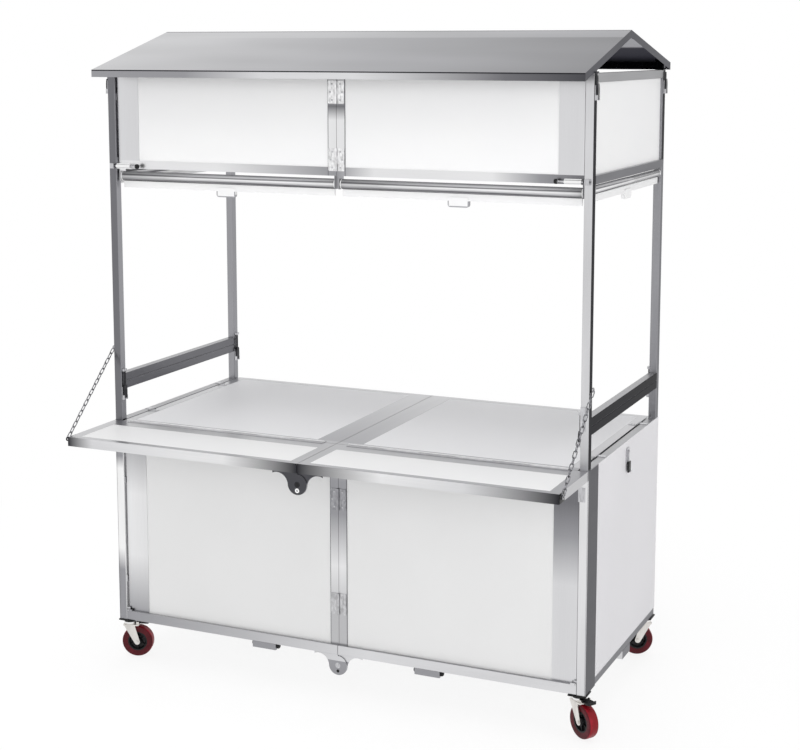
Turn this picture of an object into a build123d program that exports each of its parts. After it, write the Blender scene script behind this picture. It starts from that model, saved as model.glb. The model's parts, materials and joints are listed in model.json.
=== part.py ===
from build123d import *
from math import atan2, degrees
import os

# Food cart with a gabled roof, a folding counter and a folding front.
# X points to the right, Y to the rear and Z up. The cart is drawn about the middle of its posts, and
# is then moved so that the origin is on the floor under the middle of its outer box.
# All sizes are in millimetres. Halves are drawn on the right (+X) and mirrored for the left.

# Overall sizes
body_width = 1550
body_depth = 732
counter_top = 777
seam_rise = 122
frame_top = 1869
sign_bottom = 1569

# Square steel tube and sheet, the usual clearance, and how far a cut or a welded piece runs past a face
tube = 25
tube_corner = 2
sheet = 1.5
gap = 0.3
run_over = 1

# Fold: where the outer and the middle pivots of the front stand
pivot_inset = 4
pivot_setback = 60
knuckle_r = 3.5
knuckle_stand = 4
pin_r = 1.5
pin_inset = 1

# Front and sign panels
panel_gap = 4
panel_recess = 10.5
panel_thick = 20
panel_edge_r = 1.5
stile = 28
middle_half_gap = 0.5
end_strip = 73
board_thick = 4
board_recess = 1.5
front_top_gap = 4
front_bottom_gap = 2
sign_top_gap = 2
sign_top_rail = 18
front_hinge_rises = (122, 445)
sign_hinge_rises = (14, 208)
hinge_length = 66
hinge_leaf = 26
hinge_sheet = 2
outer_hinge_length = 40
outer_plate_thick = 3
corner_strip = 91
side_stub_y = 11

# Counter and flap
counter_thick = 28
counter_end_gap = 2
counter_edge_r = 1.5
tray_half_gap = 0.75
tray_wall = 25
tray_sheet = 8
inlay_depth = 4
counter_middle_strip = 75
counter_end_strip = 29
counter_edge_strip = 26
flap_width = 253
flap_end_gap = 0.5
flap_seam = 2
flap_middle_strip = 30
flap_end_strip = 32.5
flap_front_strip = 22
flap_rear_strip = 59

# Hinges on top of the counter
top_hinge_rise = 3
top_knuckle_r = 2.5
seam_hinge_leaf = 16
seam_hinge_start = 40
seam_hinge_end = 720
seam_knuckles = 6
counter_hinge_y = 220
counter_hinge_length = 40
counter_hinge_leaf = 26
counter_hinge_web = 2

# Bell brackets
bell_r = 30
bell_wing = 79
bell_lip = 6
bell_neck = 12
bell_dip = 5
bell_sheet = 3
bell_layer_gap = 0.5
bell_inset = 1
bell_pin_r = 4
lock_hole_r = 3
lock_hole_drop = 17.6
rear_lock_hole_drop = 14

# Folding bottom rails
rail_bottom_gap = 0.5
rail_height = 29.5
rail_depth = 10
rail_edge_r = 1.5
rail_pivot_rise = 1
rail_end_length = 13
rail_pin_r = 2
ear_thick = 4
ear_r = 3.5
lug_thick = 4
lug_gap = 0.5
lug_reach = 6
lug_height = 20
stub_width = 80
stub_height = 19
stub_places = {"left": 252, "right": 292}

# Roof
ridge_y = -20
ridge_rise = 118
front_overhang = 83
front_eave_rise = 2
rear_overhang = 56
rear_eave_rise = 22
roof_sheet_thick = 2
fascia = 22
seat_lift = 0.3
keeper_width = 14
keeper_reach = 6
keeper_thick = 4
keeper_lift = 1

# Casters
wheel_r = 50
wheel_width = 32
tread_core_r = 31
wheel_shoulder = 6
wheel_bore_r = 5
hub_r = 12
hub_rim = 5
hub_web = 7
hub_stand = 1
caster_head = 25
crown_gap = 3
crown_thick = 4
trail = 24
plate_size = 46
plate_thick = 4
swivel_r = 20.5
swivel_top_r = 17
leg_thick = 3
leg_gap = 2
leg_end_r = 9
axle_stand = 3
pedal_pin_x = 25.5
pedal_pin_r = 2
pedal_knuckle_r = 3.8
pedal_ear_wall = 1
pedal_width = 27
pedal_tip_width = 32
pedal_length = 36
pedal_thick = 4
pedal_lip = 6
pedal_lip_height = 4
caster_headings = {"front_left": 20, "front_right": -35, "rear_left": 145, "rear_right": 205}

# Blinds
roller_r = 15
roller_drop = 24
roller_setback = 15.5
side_roller_r = 12
side_roller_drop = 16
bracket_thick = 3
bracket_inset = 5
bracket_margin = 1
hem_height = 20
hem_thick = 6
hem_end_gap = 8
tab_width = 64
tab_height = 28
tab_drop = 18
tab_thick = 12
tab_corner = 8

# Latches on the posts
lever_width = 20
latch_sheet = 2
latch_height = 40
latch_ear_height = 14
latch_ear_depth = 8
latch_pin_rise = 7
latch_pin_depth = 5
lever_start = 3.4
lever_depth = 3.6
lever_rise = 5
lever_height = 40
lever_bow = 3
bail_wire = 3
roof_latch_drop = 72
roof_latch_height = 66
seam_latch_drop = 57
seam_latch_height = 90
latch_keeper = 8

# Barrel bolts, hook latch and plates
bolt_rise = 8
bolt_r = 3
bolt_stand = 5
bolt_travel = 18
bolt_wall = 3
bolt_body = 49
bolt_height = 16
bolt_tail = 22
bolt_grip = 2.5
keeper_start = 3
keeper_length = 14
keeper_hole_r = 4
hook_y = 15
hook_drop = 20
hook_body_height = 50
hook_body_width = 30
hook_body_thick = 3.5
hook_width = 10
hook_length = 73
hook_thick = 3
hook_reach = 9
hook_foot = 4
hook_pin_r = 2
stop_plate_height = 41
stop_plate_drop = 48
stop_plate_width = 20
strap_width = 14
strap_height = 69
strap_drop = 11
strap_thick = 3

# Chains
chain_wire = 3
chain_width = 12.6
chain_links = 17
chain_stand = 0.7
link_clear = 0.6
eye_r = 7
eye_hole_r = 4
eye_rise = 106
low_eye_inset = 8
high_eye_inset = 11

# Worked out places
seam_height = counter_top + seam_rise
half_width = body_width / 2
half_depth = body_depth / 2
post_inner = half_width - tube
post_middle = half_width - tube / 2
caster_height = 2 * wheel_r + caster_head
panel_face = -half_depth + panel_recess
panel_back = panel_face + panel_thick
panel_end = post_inner - panel_gap
strip_start = panel_end - end_strip
pivot_reach = post_inner - pivot_inset
pivot_y = panel_face + pivot_setback
middle_pivot_y = panel_face - knuckle_stand
pivot_offset = pivot_y - middle_pivot_y
counter_bottom = counter_top - counter_thick
top_pivot = counter_top + top_hinge_rise
counter_pivot = top_pivot - pivot_offset
front_bottom = caster_height + front_bottom_gap
front_top = counter_bottom - front_top_gap
sign_top = frame_top - sign_top_gap
front_hinges = [front_bottom + rise for rise in front_hinge_rises]
sign_hinges = [sign_bottom + rise for rise in sign_hinge_rises]
rail_bottom = caster_height + rail_bottom_gap
rail_top = rail_bottom + rail_height
rail_pivot = rail_top + rail_pivot_rise
rail_middle_pivot = rail_pivot - pivot_offset
flap_reach = half_depth + flap_width
flap_rear = -half_depth - flap_seam
flap_end = half_width - flap_end_gap
counter_end = pivot_reach - counter_end_gap
front_eave = -half_depth - front_overhang
front_eave_height = frame_top + front_eave_rise
rear_eave = half_depth + rear_overhang
rear_eave_height = frame_top + rear_eave_rise
ridge_height = frame_top + ridge_rise
swivel_x = half_width - plate_size / 2
swivel_y = half_depth - plate_size / 2
crown_bottom = 2 * wheel_r + crown_gap
crown_top = crown_bottom + crown_thick
roller_height = sign_bottom - roller_drop
roller_y = panel_face + roller_setback
side_roller_height = sign_bottom - side_roller_drop
latch_ys = (-half_depth + tube / 2, half_depth - tube / 2)
roof_latch_bottom = frame_top - roof_latch_drop
roof_latch_top = roof_latch_bottom + roof_latch_height
seam_latch_bottom = seam_height - seam_latch_drop
seam_latch_top = seam_latch_bottom + seam_latch_height
bolt_y = -half_depth - bolt_stand
bolt_z = sign_bottom + bolt_rise
barrel_start = panel_end - counter_end_gap - bolt_body
hook_top = counter_top - hook_drop
hook_pin = hook_top - hook_width
chain_x = half_width + chain_width / 2 + chain_stand
low_eye = (chain_x, -flap_reach + low_eye_inset, counter_top - low_eye_inset)
high_eye = (chain_x, -half_depth + high_eye_inset, seam_height + eye_rise)
box_middle_y = (rear_eave - flap_reach) / 2
sides = {"left": -1, "right": 1}


def bar(x0, x1, y0, y1, z0, z1):
    """A straight bar between two corners."""
    return Pos((x0 + x1) / 2, (y0 + y1) / 2, (z0 + z1) / 2) * Box(abs(x1 - x0), abs(y1 - y0), abs(z1 - z0))


def rod(r, start, end):
    """A round rod from one point to another."""
    run = Vector(*end) - Vector(*start)
    return Plane(origin=start, z_dir=run) * extrude(Circle(r), run.length)


def joined(*shapes):
    """Shapes that touch or overlap, welded into one solid."""
    first, *rest = shapes
    return first.fuse(*rest) if rest else first


def on_side(shape, side):
    """The right-hand shape, or its mirror image on the left."""
    return shape if sides[side] > 0 else shape.mirror(Plane.YZ)


def save(name, *shapes):
    """One STEP file for a node, which may hold several separate solids."""
    to_origin = Location((0, -box_middle_y, 0))
    solids = [s.moved(to_origin) for shape in shapes for s in shape.solids()]
    node = solids[0] if len(solids) == 1 else Compound(solids)
    export_step(node, f"parts/{name}.step")


def post(y, bottom, top):
    """Upright square tube with rounded corners, its outer faces in the cart's side and end."""
    section = Plane(origin=(post_middle, y, bottom)) * RectangleRounded(tube, tube, tube_corner)
    return extrude(section, top - bottom)


def side_rail(z):
    """Level tube between the front and rear post of one side, let into their rounded corners."""
    reach = half_depth - tube + 2 * tube_corner
    plane = Plane(origin=(post_middle, -reach, z + tube / 2), x_dir=(1, 0, 0), z_dir=(0, 1, 0))
    return extrude(plane * RectangleRounded(tube, tube, tube_corner), 2 * reach)


def side_frame(bottom, top, rails):
    """Two posts and the rails between them, for one side."""
    posts = [post(y, bottom, top) for y in latch_ys]
    return joined(*posts, *[side_rail(z) for z in rails])


def base_frame():
    """The base's side frame with its corner strip and the stub under the bottom rail."""
    frame = side_frame(caster_height, seam_height, (caster_height, counter_top - tube, seam_height - tube))
    strip = bar(half_width, half_width + sheet, -half_depth, -half_depth + corner_strip,
                caster_height, counter_top)
    stub = bar(post_inner, half_width, side_stub_y, side_stub_y + stub_width,
               caster_height - tube, caster_height)
    return joined(frame, strip, stub)


def side_boards():
    """The sheet over the base's side, and the board in the side of the sign."""
    base = bar(half_width, half_width + sheet, -half_depth + corner_strip, half_depth,
               caster_height + tube, counter_top)
    sign = bar(post_middle, post_middle + board_thick, -half_depth + tube, half_depth - tube,
               sign_bottom + tube, frame_top - tube)
    return base, sign


def outer_hinge_fixed(bottom):
    """Post's half of an outer hinge: a leaf on the post's inner face, a knuckle and the pin."""
    half = outer_hinge_length / 2
    leaf_start = -half_depth + 2 * knuckle_r
    leaf = bar(post_inner - hinge_sheet, post_inner, leaf_start, pivot_y, bottom, bottom + half)
    knuckle = rod(knuckle_r, (pivot_reach, pivot_y, bottom), (pivot_reach, pivot_y, bottom + half))
    pin = rod(pin_r, (pivot_reach, pivot_y, bottom + half), (pivot_reach, pivot_y, bottom + 2 * half))
    return joined(leaf, knuckle, pin)


def outer_hinge_moving(bottom):
    """Panel's half of an outer hinge: a plate behind the end strip and a bored knuckle."""
    half = outer_hinge_length / 2
    low, high = bottom + half + gap, bottom + 2 * half
    inner = pivot_reach - knuckle_r + run_over
    plate = bar(inner - outer_plate_thick, inner, panel_back, pivot_y, low, high)
    knuckle = rod(knuckle_r, (pivot_reach, pivot_y, low), (pivot_reach, pivot_y, high))
    bore = rod(pin_r + gap, (pivot_reach, pivot_y, low - run_over), (pivot_reach, pivot_y, high + run_over))
    return joined(plate, knuckle) - bore


def middle_hinge(bottom, side):
    """One half of a butt hinge at the middle; the left half holds the pin."""
    third = hinge_length / 3
    r = knuckle_r
    y = middle_pivot_y
    start = r + 2 * gap
    outline = Rectangle(hinge_leaf - start, hinge_length)
    outline = Pos((start + hinge_leaf) / 2, bottom + hinge_length / 2) * outline
    outline = fillet(outline.vertices().sort_by(Axis.X)[-2:], r)
    face = Plane(origin=(0, panel_face, 0), x_dir=(1, 0, 0), z_dir=(0, -1, 0))
    leaf = extrude(face * outline, hinge_sheet)
    if side == "left":
        spans = ((bottom, bottom + third - gap), (bottom + 2 * third + gap, bottom + hinge_length))
    else:
        spans = ((bottom + third, bottom + 2 * third),)
    tabs = [bar(0, start + run_over, panel_face - hinge_sheet, panel_face - 2 * gap, low, high)
            for low, high in spans]
    knuckles = [rod(r, (0, y, low), (0, y, high)) for low, high in spans]
    half = joined(leaf, *tabs, *knuckles)
    if side == "left":
        pin = rod(pin_r, (0, y, bottom + pin_inset), (0, y, bottom + hinge_length - pin_inset))
        return joined(half, pin)
    return half - rod(pin_r + gap, (0, y, bottom), (0, y, bottom + hinge_length))


def panel_frame(bottom, top, bottom_rail, top_rail, hinges):
    """Frame of a folding panel half: a ring behind the board, and the stiles and rails around its face."""
    face = Plane(origin=(0, panel_face, 0), x_dir=(1, 0, 0), z_dir=(0, -1, 0))
    middle, height = (bottom + top) / 2, top - bottom
    width = panel_end - middle_half_gap
    outline = Pos(middle_half_gap + width / 2, middle) * Rectangle(width, height)
    outline = fillet(outline.vertices(), panel_edge_r)

    def window(low, high):
        return Pos((stile + strip_start) / 2, (low + high) / 2) * Rectangle(strip_start - stile, high - low)

    front_window = window(bottom + bottom_rail, top - top_rail)
    if not bottom_rail:
        front_window = window(bottom - run_over, top + run_over)
    depth = board_recess + board_thick
    front = extrude(face * (outline - front_window), -depth)
    ring = extrude(face.offset(-depth) * (outline - window(bottom + tube, top - tube)), depth - panel_thick)
    return joined(front, ring, *[outer_hinge_moving(z) for z in hinges])


def panel_board(bottom, top):
    """White board of a folding panel half, set a little behind its frame."""
    front = panel_face + board_recess
    return bar(stile, strip_start, front, front + board_thick, bottom, top)


def sign_frame():
    """Sign half with the blind's brackets and the barrel of the bolt on its bottom rail."""
    frame = panel_frame(sign_bottom, sign_top, tube, sign_top_rail, sign_hinges)
    low = roller_height - roller_r
    brackets = [
        bar(x, x + bracket_thick, panel_face, roller_y + roller_r, low, sign_bottom)
        for x in (bracket_inset, panel_end - bracket_thick)
    ]
    end = barrel_start + bolt_body
    half = bolt_height / 2
    base = bar(barrel_start, end, bolt_y, panel_face, bolt_z - half, bolt_z + half)
    barrel = rod(bolt_r + bolt_wall, (barrel_start, bolt_y, bolt_z), (end, bolt_y, bolt_z))
    bore = rod(bolt_r + gap, (barrel_start - run_over, bolt_y, bolt_z), (end + run_over, bolt_y, bolt_z))
    return joined(frame, *brackets, joined(base, barrel) - bore)


def barrel_bolt():
    """Sliding bolt with its grip, drawn back clear of the keeper."""
    tail = barrel_start - bolt_tail
    bolt = rod(bolt_r, (tail, bolt_y, bolt_z), (pivot_reach + hinge_sheet, bolt_y, bolt_z))
    grip_end = barrel_start - bolt_travel - gap
    grip = rod(bolt_r + bolt_grip, (tail, bolt_y, bolt_z), (grip_end, bolt_y, bolt_z))
    return joined(bolt, grip)


def bolt_keeper():
    """Keeper on the front of the post that takes the shot bolt."""
    x = post_inner + keeper_start
    half = bolt_height / 2
    body = bar(x, x + keeper_length, bolt_y - bolt_r - bolt_grip, -half_depth, bolt_z - half, bolt_z + half)
    return body - rod(keeper_hole_r, (post_inner, bolt_y, bolt_z), (half_width, bolt_y, bolt_z))


def tray(x0, x1, y0, y1, inlay):
    """Shallow tray with a rounded rim, a board pocket on top and open between its edge tubes below."""
    ix0, ix1, iy0, iy1 = inlay
    body = bar(x0, x1, y0, y1, counter_bottom, counter_top)
    body = fillet(body.edges().filter_by(Axis.X).group_by(Axis.Z)[-1], counter_edge_r)
    pocket = bar(ix0, ix1, iy0, iy1, counter_top - inlay_depth, counter_top + run_over)
    middle = (x0 + x1) / 2
    hollows = [
        bar(a, b, y0 + tray_wall, y1 - tray_wall, counter_bottom - run_over, counter_top - tray_sheet)
        for a, b in ((x0 + tray_wall, middle - tray_wall / 2), (middle + tray_wall / 2, x1 - tray_wall))
    ]
    return body - pocket - hollows[0] - hollows[1]


def inlay_board(inlay):
    """Pale board that fills a tray's pocket."""
    ix0, ix1, iy0, iy1 = inlay
    return bar(ix0, ix1, iy0, iy1, counter_top - inlay_depth, counter_top - gap)


def bell(y0, pivot, top, side, hole_drop):
    """Bell bracket half: a wing under its rail and a round lobe about the pivot, in the XZ plane.

    The left half holds the pivot pin. Both have the lock hole, in line when the cart stands open."""
    lip = top - bell_lip
    with BuildSketch(Plane((0, 0, 0), x_dir=(1, 0, 0), z_dir=(0, -1, 0))) as outline:
        with BuildLine():
            Polyline((0, pivot), (0, top), (bell_wing, top), (bell_wing, lip))
            ThreePointArc((bell_wing, lip), (bell_r + bell_neck, lip - bell_dip), (bell_r, pivot))
            Line((bell_r, pivot), (0, pivot))
        make_face()
        with Locations((0, pivot)):
            Circle(bell_r)
        with Locations((0, pivot - hole_drop)):
            Circle(lock_hole_r, mode=Mode.SUBTRACT)
    plate = extrude(outline.sketch, bell_sheet).moved(Location((0, y0 + bell_sheet, 0)))
    if side == "left":
        return plate
    return plate - rod(bell_pin_r + gap, (0, y0 - run_over, pivot), (0, y0 + bell_sheet + run_over, pivot))


def bell_pair(front, pivot, top, side, hole_drop):
    """The bell half of one side. The left one is the front layer and carries the pin and its head."""
    if side == "right":
        return bell(front + bell_sheet + bell_layer_gap, pivot, top, side, hole_drop)
    pin = rod(bell_pin_r, (0, front, pivot), (0, front + 2 * (bell_sheet + bell_layer_gap), pivot))
    return joined(bell(front, pivot, top, side, hole_drop), pin)


def rear_bell_front():
    """Front face of the layers of a bell under a rear edge."""
    return half_depth - bell_inset - 2 * bell_sheet - bell_layer_gap


def seam_hinge(part):
    """Half of the long hinge between counter and flap: a leaf and every other knuckle."""
    y = -half_depth - flap_seam / 2
    step = (seam_hinge_end - seam_hinge_start) / seam_knuckles
    clear = top_knuckle_r + gap
    leaf_y = (y - seam_hinge_leaf, y - clear) if part == "flap" else (y + clear, y + seam_hinge_leaf)
    near = y - clear if part == "flap" else y + clear
    pieces = [bar(seam_hinge_start, seam_hinge_end, *leaf_y, counter_top, counter_top + sheet)]
    for i in range(1 if part == "flap" else 0, seam_knuckles, 2):
        low = seam_hinge_start + i * step + gap
        high = seam_hinge_start + (i + 1) * step - gap
        pieces.append(rod(top_knuckle_r, (low, y, top_pivot), (high, y, top_pivot)))
        pieces.append(bar(low, high, *sorted((near, y)), counter_top + sheet / 2, counter_top + sheet))
    return joined(*pieces)


def counter_hinge(part):
    """Top butt hinges at the counter's outer end: the counter's or the rail's half of each."""
    pieces = []
    half = counter_hinge_length / 2
    for y in (-counter_hinge_y, counter_hinge_y):
        if part == "counter":
            low, high = y, y + half
            leaf = bar(pivot_reach - counter_hinge_leaf, pivot_reach, low, high,
                       counter_top, counter_top + sheet)
        else:
            low, high = y + half + gap, y + 2 * half
            leaf = bar(pivot_reach, half_width - tube_corner, low, high, counter_top, counter_top + sheet)
        knuckle = rod(top_knuckle_r, (pivot_reach, low, top_pivot), (pivot_reach, high, top_pivot))
        web = bar(pivot_reach - counter_hinge_web / 2, pivot_reach + counter_hinge_web / 2,
                  low, high, counter_top, top_pivot)
        pieces.append(joined(leaf, web, knuckle))
    return pieces


counter_inlay = (counter_middle_strip, counter_end - counter_end_strip,
                 -half_depth + counter_edge_strip, half_depth - counter_edge_strip)
flap_inlay = (flap_middle_strip, flap_end - flap_end_strip,
              -flap_reach + flap_front_strip, flap_rear - flap_rear_strip)


def counter_frame(side):
    """Counter half with its rear bell, seam hinge leaf and outer hinge leaves."""
    body = tray(tray_half_gap, counter_end, -half_depth, half_depth, counter_inlay)
    rear = bell_pair(rear_bell_front(), counter_pivot, counter_bottom, side, rear_lock_hole_drop)
    return [body, seam_hinge("counter"), *counter_hinge("counter"), rear]


def flap_frame(side):
    """Flap leaf with its front bell, seam hinge leaf and the ring for its chain."""
    body = tray(tray_half_gap, flap_end, -flap_reach, flap_rear, flap_inlay)
    front = bell_pair(-flap_reach + bell_inset, counter_pivot, counter_bottom, side, lock_hole_drop)
    return [body, seam_hinge("flap"), front, chain_eye(low_eye, flap_end)]


def chain_eye(place, face):
    """Ring that a chain's end link hangs in, on a short pin from the face beside it."""
    x, y, z = place
    plane = Plane((x - chain_wire / 2, y, z), x_dir=(0, 1, 0), z_dir=(1, 0, 0))
    ring = extrude(plane * (Circle(eye_r) - Circle(eye_hole_r)), chain_wire)
    pin_z = z - (eye_r + eye_hole_r) / 2
    return joined(ring, rod(pin_r - gap, (face, y, pin_z), (x, y, pin_z)))


def chain_link(inner, wide):
    """One link along Z, flat in the XZ plane when wide is true, else in the YZ plane."""
    outline = SlotOverall(inner + 2 * chain_wire, chain_width)
    outline -= SlotOverall(inner, chain_width - 2 * chain_wire)
    plane = Plane.XZ if wide else Plane.YZ
    return extrude(plane * (Rot(0, 0, 90) * outline), chain_wire / 2, both=True)


def chain():
    """Links pulled tight from the ring on the flap's end to the ring on the post."""
    run = Vector(*high_eye) - Vector(*low_eye)
    hang = eye_hole_r - link_clear
    inner = (run.length - 2 * hang + link_clear * (chain_links - 1)) / chain_links
    tilt = degrees(atan2(-run.Y, run.Z))
    along = run.normalized()
    links = []
    for i in range(chain_links):
        centre = Vector(*low_eye) + along * (hang + inner / 2 + i * (inner - link_clear))
        links.append(Location(tuple(centre)) * Rot(tilt, 0, 0) * chain_link(inner, i % 2 == 0))
    return links


def bottom_rails(side):
    """Front and rear halves of the folding bottom rail, each with its ear and bell, and the front stub."""
    pieces = []
    start = pivot_reach - rail_end_length
    for face in (-1, 1):
        outer = face * half_depth
        inner = face * (half_depth - rail_depth)
        ear_back = face * (half_depth - ear_thick)
        ys = sorted((outer, ear_back))
        run = bar(tray_half_gap, start, min(outer, inner), max(outer, inner), rail_bottom, rail_top)
        run = fillet(run.edges().filter_by(Axis.X), rail_edge_r)
        ear = bar(start - rail_edge_r, pivot_reach, *ys, rail_bottom + rail_edge_r, rail_pivot + ear_r)
        nose = bar(pivot_reach, pivot_reach + ear_r, *ys, rail_bottom + rail_edge_r, rail_pivot)
        eye = rod(ear_r, (pivot_reach, outer, rail_pivot), (pivot_reach, ear_back, rail_pivot))
        over = face * (half_depth + run_over)
        hole = rod(rail_pin_r + gap, (pivot_reach, over, rail_pivot), (pivot_reach, inner, rail_pivot))
        front = -half_depth + bell_inset if face < 0 else rear_bell_front()
        hole_drop = lock_hole_drop if face < 0 else rear_lock_hole_drop
        pieces.append(joined(run, ear, nose, eye) - hole)
        pieces.append(bell_pair(front, rail_middle_pivot, rail_bottom, side, hole_drop))
    middle = stub_places[side]
    stub = bar(middle - stub_width / 2, middle + stub_width / 2, -half_depth, -half_depth + rail_depth,
               rail_bottom - stub_height, rail_bottom)
    return [*pieces, stub]


def rail_lug(face):
    """Lug on the post's inner face with the pin that a bottom rail's ear turns on."""
    outer = face * (half_depth - ear_thick - lug_gap)
    inner = outer - face * lug_thick
    plate = bar(pivot_reach - lug_reach, post_inner, min(outer, inner), max(outer, inner),
                rail_pivot - lug_height / 2, rail_pivot + lug_height / 2)
    pin = rod(rail_pin_r, (pivot_reach, inner, rail_pivot), (pivot_reach, face * half_depth, rail_pivot))
    return joined(plate, pin)


def latch_base(z0, y, inside):
    """Plate and ears of a lever latch on a post, outside or inside the frame."""
    face = post_inner if inside else half_width
    out = -1 if inside else 1
    half = lever_width / 2
    pin_x = face + out * latch_pin_depth
    pin_z = z0 + latch_pin_rise
    plate = bar(face, face + out * latch_sheet, y - half, y + half, z0, z0 + latch_height)
    ears = [
        bar(face, face + out * latch_ear_depth, y + s * (half - latch_sheet), y + s * half,
            z0, z0 + latch_ear_height)
        for s in (-1, 1)
    ]
    return joined(plate, *ears, rod(pin_r, (pin_x, y - half, pin_z), (pin_x, y + half, pin_z)))


def latch_lever(z0, z1, y, inside):
    """Lever of a latch, bowed away from the post, with the bail that reaches the keeper above."""
    face = post_inner if inside else half_width
    out = -1 if inside else 1
    half = lever_width / 2 - latch_sheet - gap
    low, high = z0 + lever_rise, z0 + lever_rise + lever_height
    x0 = face + out * lever_start
    x1 = x0 + out * lever_depth
    with BuildSketch(Plane.XZ) as side_view:
        with BuildLine():
            Line((x0, high), (x0, low))
            Line((x0, low), (x1, low))
            ThreePointArc((x1, low), (x1 + out * lever_bow / 2, (low + high) / 2), (x1, high))
            Line((x1, high), (x0, high))
        make_face()
    blade = extrude(side_view.sketch, half, both=True).moved(Location((0, y, 0)))
    reach = half - bail_wire
    bail = bar(x0, x0 + out * latch_sheet, y - reach, y + reach, high, z1)
    window = bar(x0 - out, x1, y - reach + bail_wire, y + reach - bail_wire,
                 high + lever_rise, z1 - lever_rise)
    pin_x, pin_z = face + out * latch_pin_depth, z0 + latch_pin_rise
    bore = rod(pin_r + gap, (pin_x, y - half - run_over, pin_z), (pin_x, y + half + run_over, pin_z))
    return joined(blade, bail) - window - bore


def fixed_fittings(side):
    """Hinge leaves, lugs, latch bases, keepers, chain eye, blind brackets and plates of one side frame."""
    pieces = [outer_hinge_fixed(z) for z in (*front_hinges, *sign_hinges)]
    pieces += counter_hinge("rail")
    pieces += [rail_lug(face) for face in (-1, 1)]
    pieces.append(bolt_keeper())
    for y in latch_ys:
        pieces.append(latch_base(roof_latch_bottom, y, False))
        pieces.append(latch_base(seam_latch_bottom, y, True))
        pieces.append(bar(post_inner - latch_keeper, post_inner, y - latch_keeper, y + latch_keeper,
                          seam_latch_top + gap, seam_latch_top + latch_keeper))
    pieces.append(chain_eye(high_eye, half_width))
    for y in (-half_depth + tube, half_depth - tube - bracket_thick):
        pieces.append(bar(post_inner + bracket_margin, half_width - bracket_margin, y, y + bracket_thick,
                          side_roller_height - side_roller_r, sign_bottom))
    if side == "right":
        pieces.append(bar(post_inner - bracket_thick, post_inner - bracket_thick + stop_plate_width,
                          -half_depth - sheet, -half_depth,
                          counter_top - stop_plate_drop - stop_plate_height, counter_top - stop_plate_drop))
        pieces.append(bar(post_inner, post_inner + strap_width, -half_depth - strap_thick, -half_depth,
                          seam_height - strap_drop, seam_height - strap_drop + strap_height))
        pieces.append(hook_base())
    return pieces


def hook_base():
    """Body of the hook latch on the base's side, with the pin that its hook turns on."""
    x0, x1 = half_width + sheet, half_width + sheet + hook_body_thick
    middle = hook_top - hook_body_height / 2
    outline = Pos(hook_y, middle) * RectangleRounded(hook_body_width, hook_body_height, hook_width / 2)
    body = extrude(Plane(origin=(x0, 0, 0), x_dir=(0, 1, 0), z_dir=(1, 0, 0)) * outline, hook_body_thick)
    return joined(body, rod(hook_pin_r, (x1, hook_y, hook_pin), (x1 + 2 * hook_pin_r, hook_y, hook_pin)))


def hook_latch():
    """Hook that hangs from the latch body on the base's side, its foot turned outward."""
    x = half_width + sheet + hook_body_thick + gap
    low = hook_top - hook_length
    head = Pos(hook_y, hook_pin) * Circle(hook_width / 2)
    shank = Pos(hook_y, (hook_pin + low) / 2) * Rectangle(hook_width, hook_pin - low)
    hole = Pos(hook_y, hook_pin) * Circle(hook_pin_r + gap)
    plane = Plane(origin=(x, 0, 0), x_dir=(0, 1, 0), z_dir=(1, 0, 0))
    blade = extrude(plane * (head + shank - hole), hook_thick)
    foot = bar(x, x + hook_reach, hook_y - hook_width / 2, hook_y + hook_width / 2, low, low + hook_foot)
    return joined(blade, foot)


def roof():
    """Gabled sheet with turned down eaves and rakes, on four feet, with a keeper over each roof latch."""
    t = roof_sheet_thick
    half = half_width
    front_slope = (ridge_height - front_eave_height) / (ridge_y - front_eave)
    rear_slope = (ridge_height - rear_eave_height) / (rear_eave - ridge_y)

    def section(drop):
        return [(front_eave, front_eave_height - drop), (ridge_y, ridge_height - drop),
                (rear_eave, rear_eave_height - drop)]

    def band(top, bottom, x0, x1):
        outline = Polyline(*section(top), *reversed(section(bottom)), close=True)
        return extrude(Plane((x0, 0, 0), x_dir=(0, 1, 0), z_dir=(1, 0, 0)) * make_face(outline), x1 - x0)

    skin = band(0, t, -half, half)
    rakes = [band(0, fascia, x, x + t) for x in (-half, half - t)]
    front = bar(-half, half, front_eave, front_eave + t,
                front_eave_height - fascia, front_eave_height - gap)
    rear = bar(-half, half, rear_eave - t, rear_eave, rear_eave_height - fascia, rear_eave_height - gap)
    feet = []
    keeper_z = frame_top + keeper_lift + keeper_thick
    for side in (-1, 1):
        for y, slope, eave, height in ((latch_ys[0], front_slope, -front_eave, front_eave_height),
                                       (latch_ys[1], rear_slope, rear_eave, rear_eave_height)):
            top = height + (eave - abs(y) - tube / 2) * slope - t + run_over
            x0 = side * (half - t - tube)
            feet.append(bar(x0, x0 + side * tube, y - tube / 2, y + tube / 2, frame_top + seat_lift, top))
            near, far = y - keeper_width / 2, y + keeper_width / 2
            x1 = side * (half - t)
            feet.append(bar(x1, side * (half + keeper_reach), near, far, keeper_z - keeper_thick, keeper_z))
            feet.append(bar(x1, side * half, near, far, keeper_z - keeper_thick, top))
    return joined(skin, *rakes, front, rear, *feet)


def front_roller():
    """Blind tube under a sign half, between its two brackets."""
    x0 = bracket_inset + bracket_thick + gap
    x1 = panel_end - bracket_thick - gap
    return rod(roller_r, (x0, roller_y, roller_height), (x1, roller_y, roller_height))


def side_roller():
    """Blind tube under the side of the sign, between the posts."""
    reach = half_depth - tube - bracket_thick - gap
    z = side_roller_height
    return rod(side_roller_r, (post_middle, -reach, z), (post_middle, reach, z))


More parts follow.
